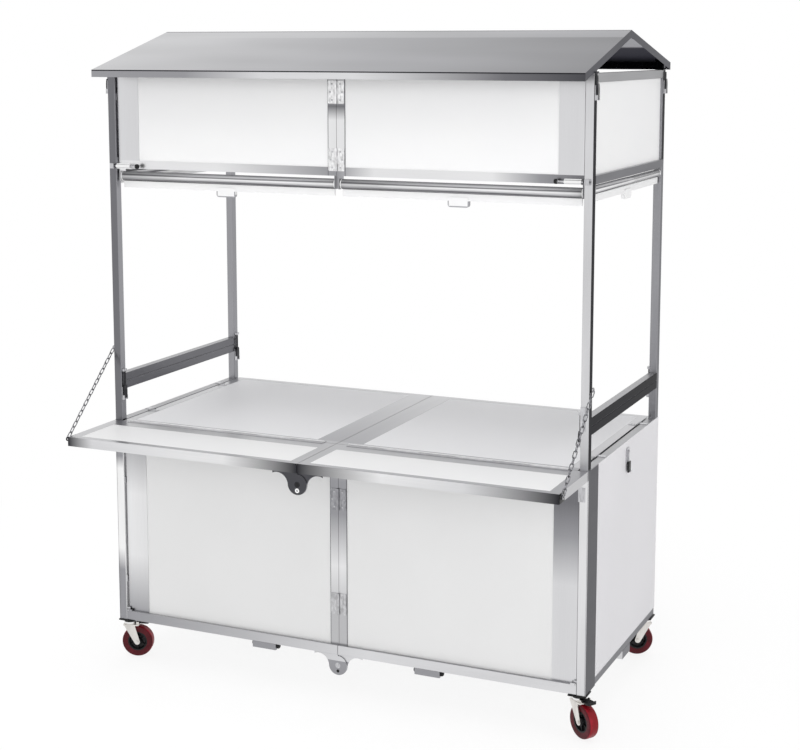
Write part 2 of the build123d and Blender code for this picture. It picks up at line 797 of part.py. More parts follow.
def hem_bar(length, top):
    """Weighted bar at a blind's lower end, along X about the origin, with its rounded pull tab."""
    body = bar(-length / 2, length / 2, -hem_thick / 2, hem_thick / 2, top - hem_height, top)
    outline = RectangleRounded(tab_width, tab_height, tab_corner)
    outline = Pos(0, top - tab_drop - tab_height / 2 + tab_corner) * outline
    tab = extrude(Plane.XZ * outline, tab_thick / 2, both=True)
    return joined(body, tab)


def front_hem():
    """Hem bar of a front blind."""
    x0, x1 = bracket_inset + hem_end_gap, panel_end - hem_end_gap
    top = roller_height - roller_r - gap
    return hem_bar(x1 - x0, top).moved(Location(((x0 + x1) / 2, roller_y, 0)))


def side_hem():
    """Hem bar of a side blind."""
    length = body_depth - 2 * (tube + hem_end_gap)
    top = side_roller_height - side_roller_r - gap
    return Location((post_middle, 0, 0), (0, 0, 90)) * hem_bar(length, top)


def fork():
    """Caster fork: crown and swivel head, teardrop legs with the axle, and ears with the pedal's pin."""
    axle = wheel_r
    half = wheel_width / 2 + leg_gap
    nose = pedal_pin_x + pedal_knuckle_r + pedal_ear_wall
    crown = bar(-swivel_r, nose, -half - leg_thick, half + leg_thick, crown_bottom, crown_top)
    crown = fillet(crown.edges().filter_by(Axis.Z), leg_gap * 2)
    head_top = caster_height - plate_thick - gap
    head = Polyline((0, crown_top), (swivel_r, crown_top), (swivel_top_r, head_top), (0, head_top), close=True)
    housing = revolve(Plane.XZ * make_face(head), Axis.Z)
    shoulder = Pos(0, crown_bottom + crown_thick / 2) * Rectangle(2 * (swivel_r - leg_gap * 2), crown_thick)
    leg = make_hull([*shoulder.edges(), *(Pos(trail, axle) * Circle(leg_end_r)).edges()])
    legs = [extrude(Plane(origin=(0, y, 0), x_dir=(1, 0, 0), z_dir=(0, -1, 0)) * leg, leg_thick)
            for y in (-half, half + leg_thick)]
    end = half + leg_thick + axle_stand
    axle_pin = rod(wheel_bore_r - gap, (trail, -end, axle), (trail, end, axle))
    pin_z = crown_top + pedal_knuckle_r + 2 * gap
    inner = pedal_width / 2 + 2 * gap
    ears = [bar(pedal_pin_x - pedal_knuckle_r, nose, s * inner, s * (inner + leg_thick),
                crown_top - run_over, pin_z + pedal_knuckle_r) for s in (-1, 1)]
    pin = rod(pedal_pin_r, (pedal_pin_x, -inner - run_over, pin_z), (pedal_pin_x, inner + run_over, pin_z))
    return joined(crown, housing, *legs, axle_pin, *ears, pin)


def wheel():
    """Tread with rounded shoulders, and a hub with a thin web between boss and rim."""
    half = wheel_width / 2
    flank = wheel_r - wheel_shoulder
    edge = half - wheel_shoulder
    turn = wheel_shoulder / 3
    with BuildSketch() as tread:
        with BuildLine():
            Polyline((tread_core_r, half - leg_gap), (flank, half))
            ThreePointArc((flank, half), (wheel_r - turn, half - turn), (wheel_r, edge))
            Polyline((wheel_r, edge), (wheel_r, -edge))
            ThreePointArc((wheel_r, -edge), (wheel_r - turn, turn - half), (flank, -half))
            Polyline((flank, -half), (tread_core_r, leg_gap - half), (tread_core_r, half - leg_gap))
        make_face()
    rim = tread_core_r - hub_rim
    side = half - leg_gap
    web = hub_web / 2
    boss = half + hub_stand
    outline = Polyline((wheel_bore_r, -boss), (hub_r, -boss), (hub_r, -web), (rim, -web), (rim, -side),
                       (tread_core_r, -side), (tread_core_r, side), (rim, side), (rim, web), (hub_r, web),
                       (hub_r, boss), (wheel_bore_r, boss), close=True)
    pieces = [revolve(tread.sketch, Axis.Y), revolve(make_face(outline), Axis.Y)]
    return [Pos(trail, 0, wheel_r) * piece for piece in pieces]


def brake_pedal():
    """Pedal on its pin behind the swivel head, wider at the tip, with a raised lip."""
    pin_z = crown_top + pedal_knuckle_r + 2 * gap
    half = pedal_width / 2
    tip = pedal_pin_x + pedal_length
    with BuildSketch(Plane.XY.offset(pin_z - pedal_thick / 2)) as blade:
        with BuildLine():
            Polyline((pedal_pin_x, half), (tip, pedal_tip_width / 2), (tip, -pedal_tip_width / 2),
                     (pedal_pin_x, -half), close=True)
        make_face()
        fillet(blade.vertices().sort_by(Axis.X)[-2:], pedal_lip)
    plate = extrude(blade.sketch, pedal_thick)
    lip_zone = bar(tip - pedal_lip, tip, -pedal_tip_width, pedal_tip_width, 0, caster_height)
    lip = extrude(blade.sketch, pedal_thick + pedal_lip_height) & lip_zone
    knuckle = rod(pedal_knuckle_r, (pedal_pin_x, -half, pin_z), (pedal_pin_x, half, pin_z))
    over = half + run_over
    bore = rod(pedal_pin_r + gap, (pedal_pin_x, -over, pin_z), (pedal_pin_x, over, pin_z))
    return joined(plate, lip, knuckle) - bore


def caster_plate(face):
    """Top plate welded under the post, which the caster's fork turns below."""
    half = plate_size / 2
    y = face * swivel_y
    return bar(swivel_x - half, swivel_x + half, y - half, y + half,
               caster_height - plate_thick, caster_height)


os.makedirs("parts", exist_ok=True)

for side in sides:
    save(f"base_frame_{side}",
         *[on_side(s, side) for s in (base_frame(), caster_plate(-1), caster_plate(1))])
    save(f"upper_frame_{side}", on_side(side_frame(
        seam_height, frame_top, (seam_height, sign_bottom, frame_top - tube)), side))
    save(f"side_boards_{side}", *[on_side(s, side) for s in side_boards()])
    save(f"fittings_{side}", *[on_side(s, side) for s in fixed_fittings(side)])
    save(f"front_frame_{side}", on_side(panel_frame(front_bottom, front_top, 0, 0, front_hinges), side))
    save(f"sign_frame_{side}", on_side(sign_frame(), side))
    save(f"front_boards_{side}", on_side(panel_board(front_bottom, front_top), side),
         on_side(panel_board(sign_bottom + tube, sign_top - sign_top_rail), side))
    save(f"middle_hinges_{side}",
         *[on_side(middle_hinge(z, side), side) for z in (*front_hinges, *sign_hinges)])
    save(f"barrel_bolt_{side}", on_side(barrel_bolt(), side))
    save(f"counter_frame_{side}", *[on_side(s, side) for s in counter_frame(side)])
    save(f"counter_board_{side}", on_side(inlay_board(counter_inlay), side))
    save(f"flap_frame_{side}", *[on_side(s, side) for s in flap_frame(side)])
    save(f"flap_board_{side}", on_side(inlay_board(flap_inlay), side))
    save(f"flap_chain_{side}", *[on_side(s, side) for s in chain()])
    save(f"bottom_rails_{side}", *[on_side(s, side) for s in bottom_rails(side)])
    save(f"front_blind_tube_{side}", on_side(front_roller(), side))
    save(f"front_hem_bar_{side}", on_side(front_hem(), side))
    save(f"side_blind_tube_{side}", on_side(side_roller(), side))
    save(f"side_hem_bar_{side}", on_side(side_hem(), side))
    for end, y in zip(("front", "rear"), latch_ys):
        roof_lever = latch_lever(roof_latch_bottom, roof_latch_top, y, False)
        seam_lever = latch_lever(seam_latch_bottom, seam_latch_top, y, True)
        save(f"roof_latch_{end}_{side}", on_side(roof_lever, side))
        save(f"seam_latch_{end}_{side}", on_side(seam_lever, side))

save("roof_sheet", roof())
save("hook_latch", hook_latch())

for corner, heading in caster_headings.items():
    front, side = corner.split("_")
    end = -1 if front == "front" else 1
    place = Location((sides[side] * swivel_x, end * swivel_y, 0), (0, 0, heading))
    save(f"caster_fork_{corner}", place * fork())
    save(f"caster_wheel_{corner}", *[place * piece for piece in wheel()])
    save(f"brake_pedal_{corner}", place * brake_pedal())
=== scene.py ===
import json
import math

import bmesh
import bpy
from mathutils import Matrix, Vector


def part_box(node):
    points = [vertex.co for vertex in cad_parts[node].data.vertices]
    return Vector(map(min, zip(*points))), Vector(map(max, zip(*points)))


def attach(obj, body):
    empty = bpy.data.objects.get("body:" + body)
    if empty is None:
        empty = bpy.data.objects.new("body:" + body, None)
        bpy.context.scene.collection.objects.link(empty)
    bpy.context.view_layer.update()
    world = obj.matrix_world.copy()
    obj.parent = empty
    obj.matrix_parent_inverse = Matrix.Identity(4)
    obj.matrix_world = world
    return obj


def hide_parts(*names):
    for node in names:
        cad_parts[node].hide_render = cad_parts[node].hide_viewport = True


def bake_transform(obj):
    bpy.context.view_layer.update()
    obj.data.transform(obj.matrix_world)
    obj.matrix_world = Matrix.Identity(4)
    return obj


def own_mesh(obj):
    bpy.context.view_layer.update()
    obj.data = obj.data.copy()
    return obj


bl_info = {
    "name": "Folding food cart",
    "version": (1, 0, 0),
    "blender": (4, 5, 0),
    "location": "3D View > Sidebar > Food Cart",
    "description": "Dresses the food cart's frame with its finishes, chains, blinds, casters and caps",
    "category": "Object",
}

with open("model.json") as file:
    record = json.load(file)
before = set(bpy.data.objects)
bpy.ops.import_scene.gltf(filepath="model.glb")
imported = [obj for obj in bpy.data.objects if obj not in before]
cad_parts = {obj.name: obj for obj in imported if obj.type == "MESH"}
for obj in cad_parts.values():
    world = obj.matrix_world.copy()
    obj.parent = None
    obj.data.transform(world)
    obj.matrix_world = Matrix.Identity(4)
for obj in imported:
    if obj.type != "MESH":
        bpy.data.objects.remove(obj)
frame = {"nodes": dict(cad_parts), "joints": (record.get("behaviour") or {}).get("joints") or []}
SIDES = {"left": -1, "right": 1}
ENDS = ("front", "rear")
JOINTS = {joint["name"]: joint for joint in frame["joints"]}

# The cart was drawn about the middle of its posts, which stands behind the middle of its outer box.
POSTS_MIDDLE = sum(corner[1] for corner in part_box("upper_frame_left")) / 2


def at(x, y, z):
    """A point in metres, from millimetres about the middle of the posts."""
    return Vector((x / 1000, y / 1000 + POSTS_MIDDLE, z / 1000))


# Materials

# Grinding marks are this many times as long as they are wide.
MARK_STRETCH = 80

# Noise rarely goes beyond these two values, so they are taken as its darkest and its brightest.
NOISE_LOW, NOISE_HIGH = 0.35, 0.65


def linear(hex_code):
    """Turns an sRGB hex colour into linear values with full opacity."""
    parts = [int(hex_code[i:i + 2], 16) / 255 for i in (1, 3, 5)]
    return (*[c / 12.92 if c <= 0.04045 else ((c + 0.055) / 1.055) ** 2.4 for c in parts], 1)


def add(tree, kind, settings=None, links=None):
    """Adds a node. A link is another node's output or a plain value for the socket."""
    made = tree.nodes.new(kind)
    for name, value in (settings or {}).items():
        setattr(made, name, value)
    for name, value in (links or {}).items():
        if isinstance(value, bpy.types.NodeSocket):
            tree.links.new(value, made.inputs[name])
        else:
            made.inputs[name].default_value = value
    return made


def new_material(name):
    """An empty material, its tree and output, and object coordinates about the middle of the posts."""
    made = bpy.data.materials.new(name)
    made.use_nodes = True
    tree = made.node_tree
    tree.nodes.clear()
    output = add(tree, "ShaderNodeOutputMaterial")
    place = add(tree, "ShaderNodeTexCoord").outputs["Object"]
    centred = add(tree, "ShaderNodeMapping", links={"Vector": place, "Location": (0, -POSTS_MIDDLE, 0)})
    return made, tree, output, centred.outputs["Vector"]


def ramp(tree, value, stops):
    """A colour ramp over hex stops, given as (position, hex) pairs."""
    made = add(tree, "ShaderNodeValToRGB", links={"Fac": value})
    stripes = made.color_ramp.elements
    for i, (position, colour) in enumerate(stops):
        stripe = stripes[i] if i < 2 else stripes.new(position)
        stripe.position = position
        stripe.color = linear(colour)
    return made.outputs["Color"]


def region(tree, place, limits):
    """1 inside all the limits, else 0. A limit is (axis, low, high); a capital is for the way a face looks,
    and |x| is the distance from the middle."""
    facing = add(tree, "ShaderNodeTexCoord").outputs["Normal"]
    inside = None
    for axis, low, high in limits:
        parts = add(tree, "ShaderNodeSeparateXYZ", links={"Vector": facing if axis.isupper() else place})
        value = parts.outputs[axis.strip("|").upper()]
        if axis.startswith("|"):
            value = add(tree, "ShaderNodeMath", {"operation": "ABSOLUTE"}, {0: value}).outputs[0]
        test = add(tree, "ShaderNodeMath", {"operation": "COMPARE"},
                   {0: value, 1: (low + high) / 2, 2: (high - low) / 2}).outputs[0]
        if inside is not None:
            test = add(tree, "ShaderNodeMath", {"operation": "MULTIPLY"}, {0: inside, 1: test}).outputs[0]
        inside = test
    return inside


def streaks(tree, place, grain, across, along, detail):
    """Noise drawn out along one axis, with sizes across and along the grain in metres."""
    size = [1 / along if axis == grain else 1 / across for axis in "xyz"]
    drawn = add(tree, "ShaderNodeMapping", links={"Vector": place, "Scale": size})
    noise = add(tree, "ShaderNodeTexNoise", links={"Vector": drawn.outputs["Vector"], "Scale": 1.0,
                                                   "Detail": detail, "Roughness": 0.55})
    return noise.outputs["Fac"]


def mix(tree, share, first, second, kind="FLOAT"):
    """Blends two values, or two colours when kind is RGBA."""
    inputs, output = ((2, 3), 0) if kind == "FLOAT" else ((6, 7), 2)
    made = add(tree, "ShaderNodeMix", {"data_type": kind}, {0: share, inputs[0]: first, inputs[1]: second})
    return made.outputs[output]


def tone(tree, place, shade):
    """A plain tone, or one that changes along an axis: (axis, ((metres, hex), ...)).

    |x| is the distance from the middle."""
    if isinstance(shade, str):
        return linear(shade)
    axis, stops = shade
    value = add(tree, "ShaderNodeSeparateXYZ", links={"Vector": place}).outputs[axis.strip("|").upper()]
    if axis.startswith("|"):
        value = add(tree, "ShaderNodeMath", {"operation": "ABSOLUTE"}, {0: value}).outputs[0]
    low, high = stops[0][0], stops[-1][0]
    share = add(tree, "ShaderNodeMapRange", links={"Value": value, 1: low, 2: high}).outputs[0]
    return ramp(tree, share, [((metres - low) / (high - low), colour) for metres, colour in stops])


def steel(name, plain, grain="z", turned=(), patches=(), roughness=0.3, drift=0.3, width=0.06, fine=0.4,
          depth=0.07, spacing=0.0015, edge="#FFFFFF", edges=()):
    """Metal with a grain: slow bands of painted reflection, under fine streaks.

    turned are (axis, limits) where the grain runs another way. patches are (limits, shade), painted
    reflections
    and painted shade: each side of a tube would mirror another part of the room, and a long side passes from
    one part to the next.
    drift and width are how long and how wide a painted reflection band is, and spacing is how wide a mark is,
    in metres.
    fine is the marks' share, and depth is how much marks and bands change the tone.
    edge is how bright the steel gets at a flat angle, and edges are (limits, hex) where painted shade dims
    that."""
    made, tree, output, place = new_material(name)
    marks = streaks(tree, place, grain, spacing, MARK_STRETCH * spacing, 3.0)
    bands = streaks(tree, place, grain, width, drift, 1.5)
    for axis, limits in turned:
        inside = region(tree, place, limits)
        marks = mix(tree, inside, marks, streaks(tree, place, axis, spacing, MARK_STRETCH * spacing, 3.0))
        bands = mix(tree, inside, bands, streaks(tree, place, axis, width, drift, 1.5))
    colour = tone(tree, place, plain)
    # Painted reflections and painted shade: each patch paints its region in its own tone.
    for limits, shade in patches:
        colour = mix(tree, region(tree, place, limits), colour, tone(tree, place, shade), "RGBA")
    level = mix(tree, fine, bands, marks)
    gain = add(tree, "ShaderNodeMapRange",
               links={"Value": level, 1: NOISE_LOW, 2: NOISE_HIGH, 3: 1 - depth, 4: 1 + depth})
    colour = colour[:3] if isinstance(colour, tuple) else colour
    colour = add(tree, "ShaderNodeVectorMath", {"operation": "SCALE"}, {0: colour, "Scale": gain.outputs[0]})
    bump = add(tree, "ShaderNodeBump", links={"Height": marks, "Strength": 0.08, "Distance": 0.0003})
    tint = linear(edge)
    for limits, hex_code in edges:
        tint = mix(tree, region(tree, place, limits), tint, linear(hex_code), "RGBA")
    shader = add(tree, "ShaderNodeBsdfPrincipled",
                 links={"Base Color": colour.outputs["Vector"], "Metallic": 1.0, "Roughness": roughness,
                        "Specular Tint": tint, "Normal": bump.outputs["Normal"]})
    tree.links.new(shader.outputs["BSDF"], output.inputs["Surface"])
    return made


def coated_board(name, colour, shade, roughness, peel_size, patches=()):
    """Coated sheet or board: nearly even, with faint clouding and the coat's fine orange peel.

    patches are (limits, colour, shade) where the board has another tone."""
    made, tree, output, place = new_material(name)
    # Clouds are about 0.4 m wide.
    cloud = add(tree, "ShaderNodeTexNoise", links={"Vector": place, "Scale": 1 / 0.4, "Detail": 2.0})
    peel = add(tree, "ShaderNodeTexNoise", links={"Vector": place, "Scale": 1 / peel_size, "Detail": 2.0})
    tint = ramp(tree, cloud.outputs["Fac"], ((0.3, shade), (0.7, colour)))
    for limits, patch_colour, patch_shade in patches:
        patch = ramp(tree, cloud.outputs["Fac"], ((0.3, patch_shade), (0.7, patch_colour)))
        tint = mix(tree, region(tree, place, limits), tint, patch, "RGBA")
    bump = add(tree, "ShaderNodeBump", links={"Height": peel.outputs["Fac"], "Strength": 0.06,
                                              "Distance": 0.0003})
    shader = add(tree, "ShaderNodeBsdfPrincipled",
                 links={"Base Color": tint, "Roughness": roughness, "Normal": bump.outputs["Normal"]})
    tree.links.new(shader.outputs["BSDF"], output.inputs["Surface"])
    return made


def moulded(name, colour, worn, roughness, grain, scuff_size=0.02, gloss=0.5):
    """Moulded plastic or polyurethane: even colour with slightly lighter scuffs and a fine grain."""
    made, tree, output, place = new_material(name)
    scuff = add(tree, "ShaderNodeTexNoise", links={"Vector": place, "Scale": 1 / scuff_size, "Detail": 4.0})
    tint = ramp(tree, scuff.outputs["Fac"], ((0.45, colour), (0.8, worn)))
    skin = add(tree, "ShaderNodeTexNoise", links={"Vector": place, "Scale": 1 / grain, "Detail": 2.0})
    bump = add(tree, "ShaderNodeBump", links={"Height": skin.outputs["Fac"], "Strength": 0.15,
                                              "Distance": 0.0003})
    shader = add(tree, "ShaderNodeBsdfPrincipled",
                 links={"Base Color": tint, "Roughness": roughness, "Specular IOR Level": gloss,
                        "Normal": bump.outputs["Normal"]})
    tree.links.new(shader.outputs["BSDF"], output.inputs["Surface"])
    return made


def film(name, grain):
    """Glossy white vinyl film wound on its tube: painted reflections as pale and grey bands along the roll,
    over fine ripples.
    """
    made, tree, output, place = new_material(name)
    facing = add(tree, "ShaderNodeTexCoord").outputs["Normal"]
    up = add(tree, "ShaderNodeSeparateXYZ", links={"Vector": facing}).outputs["Z"]
    # The painted reflection bands follow how far up the film faces, and waver a little along the roll.
    waver = streaks(tree, place, grain, 0.02, 0.5, 2.0)
    waver = add(tree, "ShaderNodeMath", {"operation": "MULTIPLY_ADD"}, {0: waver, 1: 0.1, 2: up}).outputs[0]
    round_roll = add(tree, "ShaderNodeMapRange", links={"Value": waver, 1: -0.95, 2: 1.05}).outputs[0]
    tint = ramp(tree, round_roll, ((0.0, GREY), (0.18, DEEP), (0.34, SILVER), (0.5, PALE), (0.62, DEEP),
                                   (0.74, SILVER), (1.0, GREY)))
    ripple = streaks(tree, place, grain, 0.004, 0.08, 2.0)
    bump = add(tree, "ShaderNodeBump", links={"Height": ripple, "Strength": 0.15, "Distance": 0.0005})
    shader = add(tree, "ShaderNodeBsdfPrincipled",
                 links={"Base Color": tint, "Roughness": 0.25, "Metallic": 0.2,
                        "Normal": bump.outputs["Normal"]})
    tree.links.new(shader.outputs["BSDF"], output.inputs["Surface"])
    return made


def dress(node, material):
    """Gives a CAD node's slots a material."""
    mesh = frame["nodes"][node].data
    if not mesh.materials:
        mesh.materials.append(material)
    for i in range(len(mesh.materials)):
        mesh.materials[i] = material


# Shaping

def clear():
    """Ends edit mode and deselects everything, because loaded pieces start selected."""
    if bpy.context.mode != "OBJECT":
        bpy.ops.object.mode_set(mode="OBJECT")
    bpy.ops.object.select_all(action="DESELECT")


def only(*pieces):
    """Selects just these pieces, the last one active."""
    clear()
    for piece in pieces:
        piece.select_set(True)
    bpy.context.view_layer.objects.active = pieces[-1]


def rounded(piece, width, segments=3):
    """Rounds a piece's sharp edges and smooths its shading."""
    sharp = math.radians(30)
    only(piece)
    bpy.ops.object.transform_apply(location=True, rotation=True, scale=True)
    edge = piece.modifiers.new("rounded", "BEVEL")
    edge.width = width
    edge.segments = segments
    edge.limit_method = "ANGLE"
    edge.angle_limit = sharp
    bpy.ops.object.modifier_apply(modifier=edge.name)
    bpy.ops.object.shade_smooth_by_angle(angle=sharp)


def block(low, high):
    """A block between two corners, to be shaped further."""
    clear()
    middle, size = (low + high) / 2, high - low
    bpy.ops.mesh.primitive_cube_add(size=1, location=middle, scale=[abs(length) for length in size])
    return bpy.context.object


def spun(outline, centre, axis, steps=48):
    """A turned piece: a closed outline of (radius, height) pairs in millimetres, spun about an axis."""
    axis = Vector(axis).normalized()
    out = axis.orthogonal().normalized()
    centre = Vector(centre)
    points = [centre + (out * radius + axis * height) / 1000 for radius, height in outline]
    mesh = bpy.data.meshes.new("turned")
    mesh.from_pydata(points, [(i, (i + 1) % len(points)) for i in range(len(points))], [])
    piece = bpy.data.objects.new("turned", mesh)
    bpy.context.scene.collection.objects.link(piece)
    only(piece)
    bpy.ops.object.mode_set(mode="EDIT")
    bpy.ops.mesh.select_all(action="SELECT")
    bpy.ops.mesh.spin(steps=steps, angle=2 * math.pi, center=centre, axis=axis)
    bpy.ops.mesh.select_all(action="SELECT")
    bpy.ops.mesh.remove_doubles(threshold=0.00002)
    bpy.ops.mesh.normals_make_consistent(inside=False)
    bpy.ops.object.mode_set(mode="OBJECT")
    bpy.ops.object.shade_smooth_by_angle(angle=math.radians(35))
    return piece


def together(pieces):
    """Joins pieces into one object."""
    only(*pieces)
    if len(pieces) > 1:
        bpy.ops.object.join()
    return bpy.context.object


def copied(piece, matrix):
    """A copy with its own mesh, moved by a matrix."""
    only(piece)
    bpy.ops.object.duplicate()
    made = bpy.context.object
    made.matrix_world = matrix @ made.matrix_world
    only(made)
    bpy.ops.object.transform_apply(location=True, rotation=True, scale=True)
    return made


def finish(piece, name, material, body, slot):
    """Puts a piece's place in its mesh, and gives it its name, its finish and the body that it rides on."""
    only(piece)
    bpy.ops.object.transform_apply(location=True, rotation=True, scale=True)
    piece.name = piece.data.name = name
    piece.data.materials.clear()
    piece.data.materials.append(material)
    if body:
        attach(piece, body)
    return piece


class CartFinishes(bpy.types.PropertyGroup):
    """Colours that the finishes start from"""
    steel: bpy.props.StringProperty(
        name="Steel", description="Tone of the tube that faces the light", default="#D2D2D4")
    # Painted shade: the tube's sides that look right are painted darker than its fronts.
    steel_painted_shade: bpy.props.StringProperty(
        name="Steel, side", description="Tone of the tube's sides that look right", default="#909094")
    board: bpy.props.StringProperty(
        name="Boards", description="White boards of the base and sign", default="#EEEEEE")
    counter: bpy.props.StringProperty(
        name="Counter", description="Boards let into the counter", default="#EAEAEC")
    tyre: bpy.props.StringProperty(
        name="Tyre tread", description="Colour of the tyres' treads", default="#7E0C19")
    tyre_side: bpy.props.StringProperty(
        name="Tyre side", description="Colour of the tyres' sides", default="#480912")


class CartSizes(bpy.types.PropertyGroup):
    """Sizes of the pieces that this script adds, in metres"""
    link_wire: bpy.props.FloatProperty(
        name="Chain wire", description="Thickness of a chain link's wire", default=0.003,
        subtype="DISTANCE", unit="LENGTH")
    link_width: bpy.props.FloatProperty(
        name="Link width", description="Width of a chain link over all", default=0.0126,
        subtype="DISTANCE", unit="LENGTH")
    film_thick: bpy.props.FloatProperty(
        name="Film thickness", description="Thickness of the blinds' film", default=0.0003,
        subtype="DISTANCE", unit="LENGTH")
    screw_width: bpy.props.FloatProperty(
        name="Screw head", description="Width of a hinge screw's head", default=0.0056,
        subtype="DISTANCE", unit="LENGTH")
    cap_width: bpy.props.FloatProperty(
        name="Cap length", description="Length of the flap's end caps", default=0.042,
        subtype="DISTANCE", unit="LENGTH")


FINISH = {}

# The few tones of painted reflection and painted shade on polished steel and glossy film, from the room's
# lights to its floor's shade.
WHITE, PALE, LIGHT, SILVER, GREY = "#F6F6F6", "#E8E8E9", "#D8D8DA", "#BEBEC0", "#9A9A9E"
SLATE, DEEP, DARK, INK = "#747478", "#505054", "#2E2E32", "#0A0A0C"
SILVER_TO_GREY = ("x", ((-0.775, SILVER), (0.775, GREY)))

# Limits of regions, in metres about the middle of the posts. First, the way that a face looks.
LOOKS_FRONT, LOOKS_LEFT, LOOKS_RIGHT = ("Y", -1.5, -0.5), ("X", -1.5, -0.5), ("X", 0.5, 1.5)
LOOKS_UP, LOOKS_DOWN = ("Z", 0.5, 1.5), ("Z", -1.5, -0.3)

# From left to right.
LEFT, RIGHT = ("x", -1, 0), ("x", 0, 1)
LEFT_STRIP, RIGHT_STRIP, LEFT_STRIP_EDGE = ("x", -0.746, -0.672), ("x", 0.672, 0.746), ("x", -0.7465, -0.740)
MIDDLE, MIDDLE_STRIPS, MIDDLE_OF_TRAYS = ("|x|", -1, 0.03), ("|x|", -1, 0.075), ("x", -0.08, 0.08)
STILE_EDGE, PAST_MIDDLE_GAP, STUBS = ("|x|", 0.026, 0.0286), ("|x|", 0.0005, 1), ("|x|", 0.15, 0.4)
TRAY_ENDS, SIDE_TUBES = ("|x|", 0.7, 0.8), ("|x|", 0.745, 0.78)

# From front to rear.
AT_FRONT, BETWEEN_POSTS, AT_REAR = ("y", -1, -0.341), ("y", -0.341, 0.341), ("y", 0.341, 1)
CORNER_STRIP, BEHIND_STRIP, REAR_POST = ("y", -1, -0.27), ("y", -0.27, 1), ("y", 0.3, 1)
FLAP, FLAP_EDGE, FLAP_BOARD = ("y", -0.7, -0.34), ("y", -0.7, -0.6), ("y", -0.7, -0.37)
KNUCKLES, COUNTER, TRAYS = ("y", -0.375, -0.360), ("y", -0.34, 0.4), ("y", -0.6, 0.4)
FRONT_RAIL, BOLT_FRONT = ("y", -0.4, 0), ("y", -0.38, -0.3563)
FRONT_EAVE, REAR_SLOPE, REAR_EAVE = ("y", -1, -0.4), ("y", 0, 1), ("y", 0.2, 1)

# From the floor up.
BASE, ABOVE_BASE, BASE_BOARDS = ("z", 0, 0.75), ("z", 0.75, 2), ("z", 0.1, 0.8)
FOOT, BELL_OF_RAIL, STUB_HEIGHT, CORNER_HEIGHT = (
    ("z", 0, 0.2), ("z", 0, 0.1065), ("z", 0.1, 0.1252), ("z", 0.12, 0.78))
BELL_OF_FLAP, TRAY_HEIGHT, FLAP_HEIGHT, KNUCKLE_TOPS = (
    ("z", 0.66, 0.7485), ("z", 0.7, 0.8), ("z", 0.74, 0.78), ("z", 0.7772, 0.8))
SEAM_RAILS, TOP_RAIL, BESIDE_SIGN = ("z", 0.87, 0.93), ("z", 1.84, 1.87), ("z", 1.594, 2)
SIGN_BOTTOM, BOLT_HEIGHT, SIGN_TOP = ("z", 1.5, 1.594), ("z", 1.56, 1.59), ("z", 1.849, 1.9)
FASCIA_BEND, BELOW_RIDGE, RIDGE = ("z", 1.8675, 1.9), ("z", 1.966, 2), ("z", 1.9848, 2)

# Painted reflections and painted shade: which tone is painted on each side of each piece. Later limits win.
POST_PAINTED_SHADING = (
    ((LOOKS_UP,), LIGHT),
    ((LEFT, LOOKS_FRONT), SLATE),
    ((LEFT, LOOKS_FRONT, REAR_POST), GREY),
    ((LEFT, LOOKS_FRONT, BASE),
     ("z", ((0.13, GREY), (0.29, GREY), (0.36, WHITE), (0.62, WHITE), (0.66, GREY)))),
    ((LEFT, LOOKS_RIGHT), GREY),
    ((LEFT, LOOKS_RIGHT, AT_FRONT, BASE), WHITE),
    ((LEFT, LOOKS_RIGHT, BETWEEN_POSTS, SEAM_RAILS), SLATE),
    ((RIGHT, LOOKS_FRONT, REAR_POST), GREY),
    ((RIGHT, LOOKS_FRONT, AT_FRONT, BASE), ("z", ((0.13, LIGHT), (0.74, PALE)))),
    ((RIGHT, LOOKS_RIGHT, BETWEEN_POSTS, TOP_RAIL), SILVER),
    ((RIGHT, LOOKS_RIGHT, AT_FRONT, ABOVE_BASE), DARK),
    ((RIGHT, LOOKS_RIGHT, AT_REAR, BESIDE_SIGN), DARK),
    ((RIGHT, LOOKS_RIGHT, BETWEEN_POSTS, SEAM_RAILS), DARK),
    ((RIGHT, LOOKS_RIGHT, FOOT, BEHIND_STRIP), GREY),
    ((RIGHT, LOOKS_RIGHT, CORNER_HEIGHT, CORNER_STRIP), SLATE),
)
PANEL_PAINTED_SHADING = (
    ((LEFT_STRIP,), ("z", ((0.13, GREY), (0.34, PALE), (0.54, PALE), (0.66, SILVER), (0.74, GREY)))),
    ((LEFT_STRIP_EDGE, LOOKS_LEFT), WHITE),
    ((RIGHT_STRIP,), ("z", ((0.13, LIGHT), (0.44, LIGHT), (0.58, GREY), (0.68, SLATE)))),
    ((MIDDLE,),
     ("z", ((0.13, SILVER), (0.25, SILVER), (0.4, PALE), (0.56, GREY), (0.66, GREY), (0.72, SILVER)))),
    ((STILE_EDGE,), SLATE),
)
SIGN_PAINTED_SHADING = (
    ((MIDDLE,), ("z", ((1.57, GREY), (1.65, PALE), (1.73, PALE), (1.77, SLATE), (1.79, SILVER)))),
    ((LEFT, SIGN_BOTTOM, PAST_MIDDLE_GAP), ("|x|", ((0.0, GREY), (0.4, PALE)))),
    ((RIGHT, SIGN_BOTTOM),
     ("|x|", ((0.0, GREY), (0.12, PALE), (0.48, PALE), (0.62, GREY), (0.74, SLATE)))),
    ((STILE_EDGE,), SLATE),
    ((SIGN_TOP,), WHITE),
    ((BOLT_FRONT, BOLT_HEIGHT), WHITE),
)
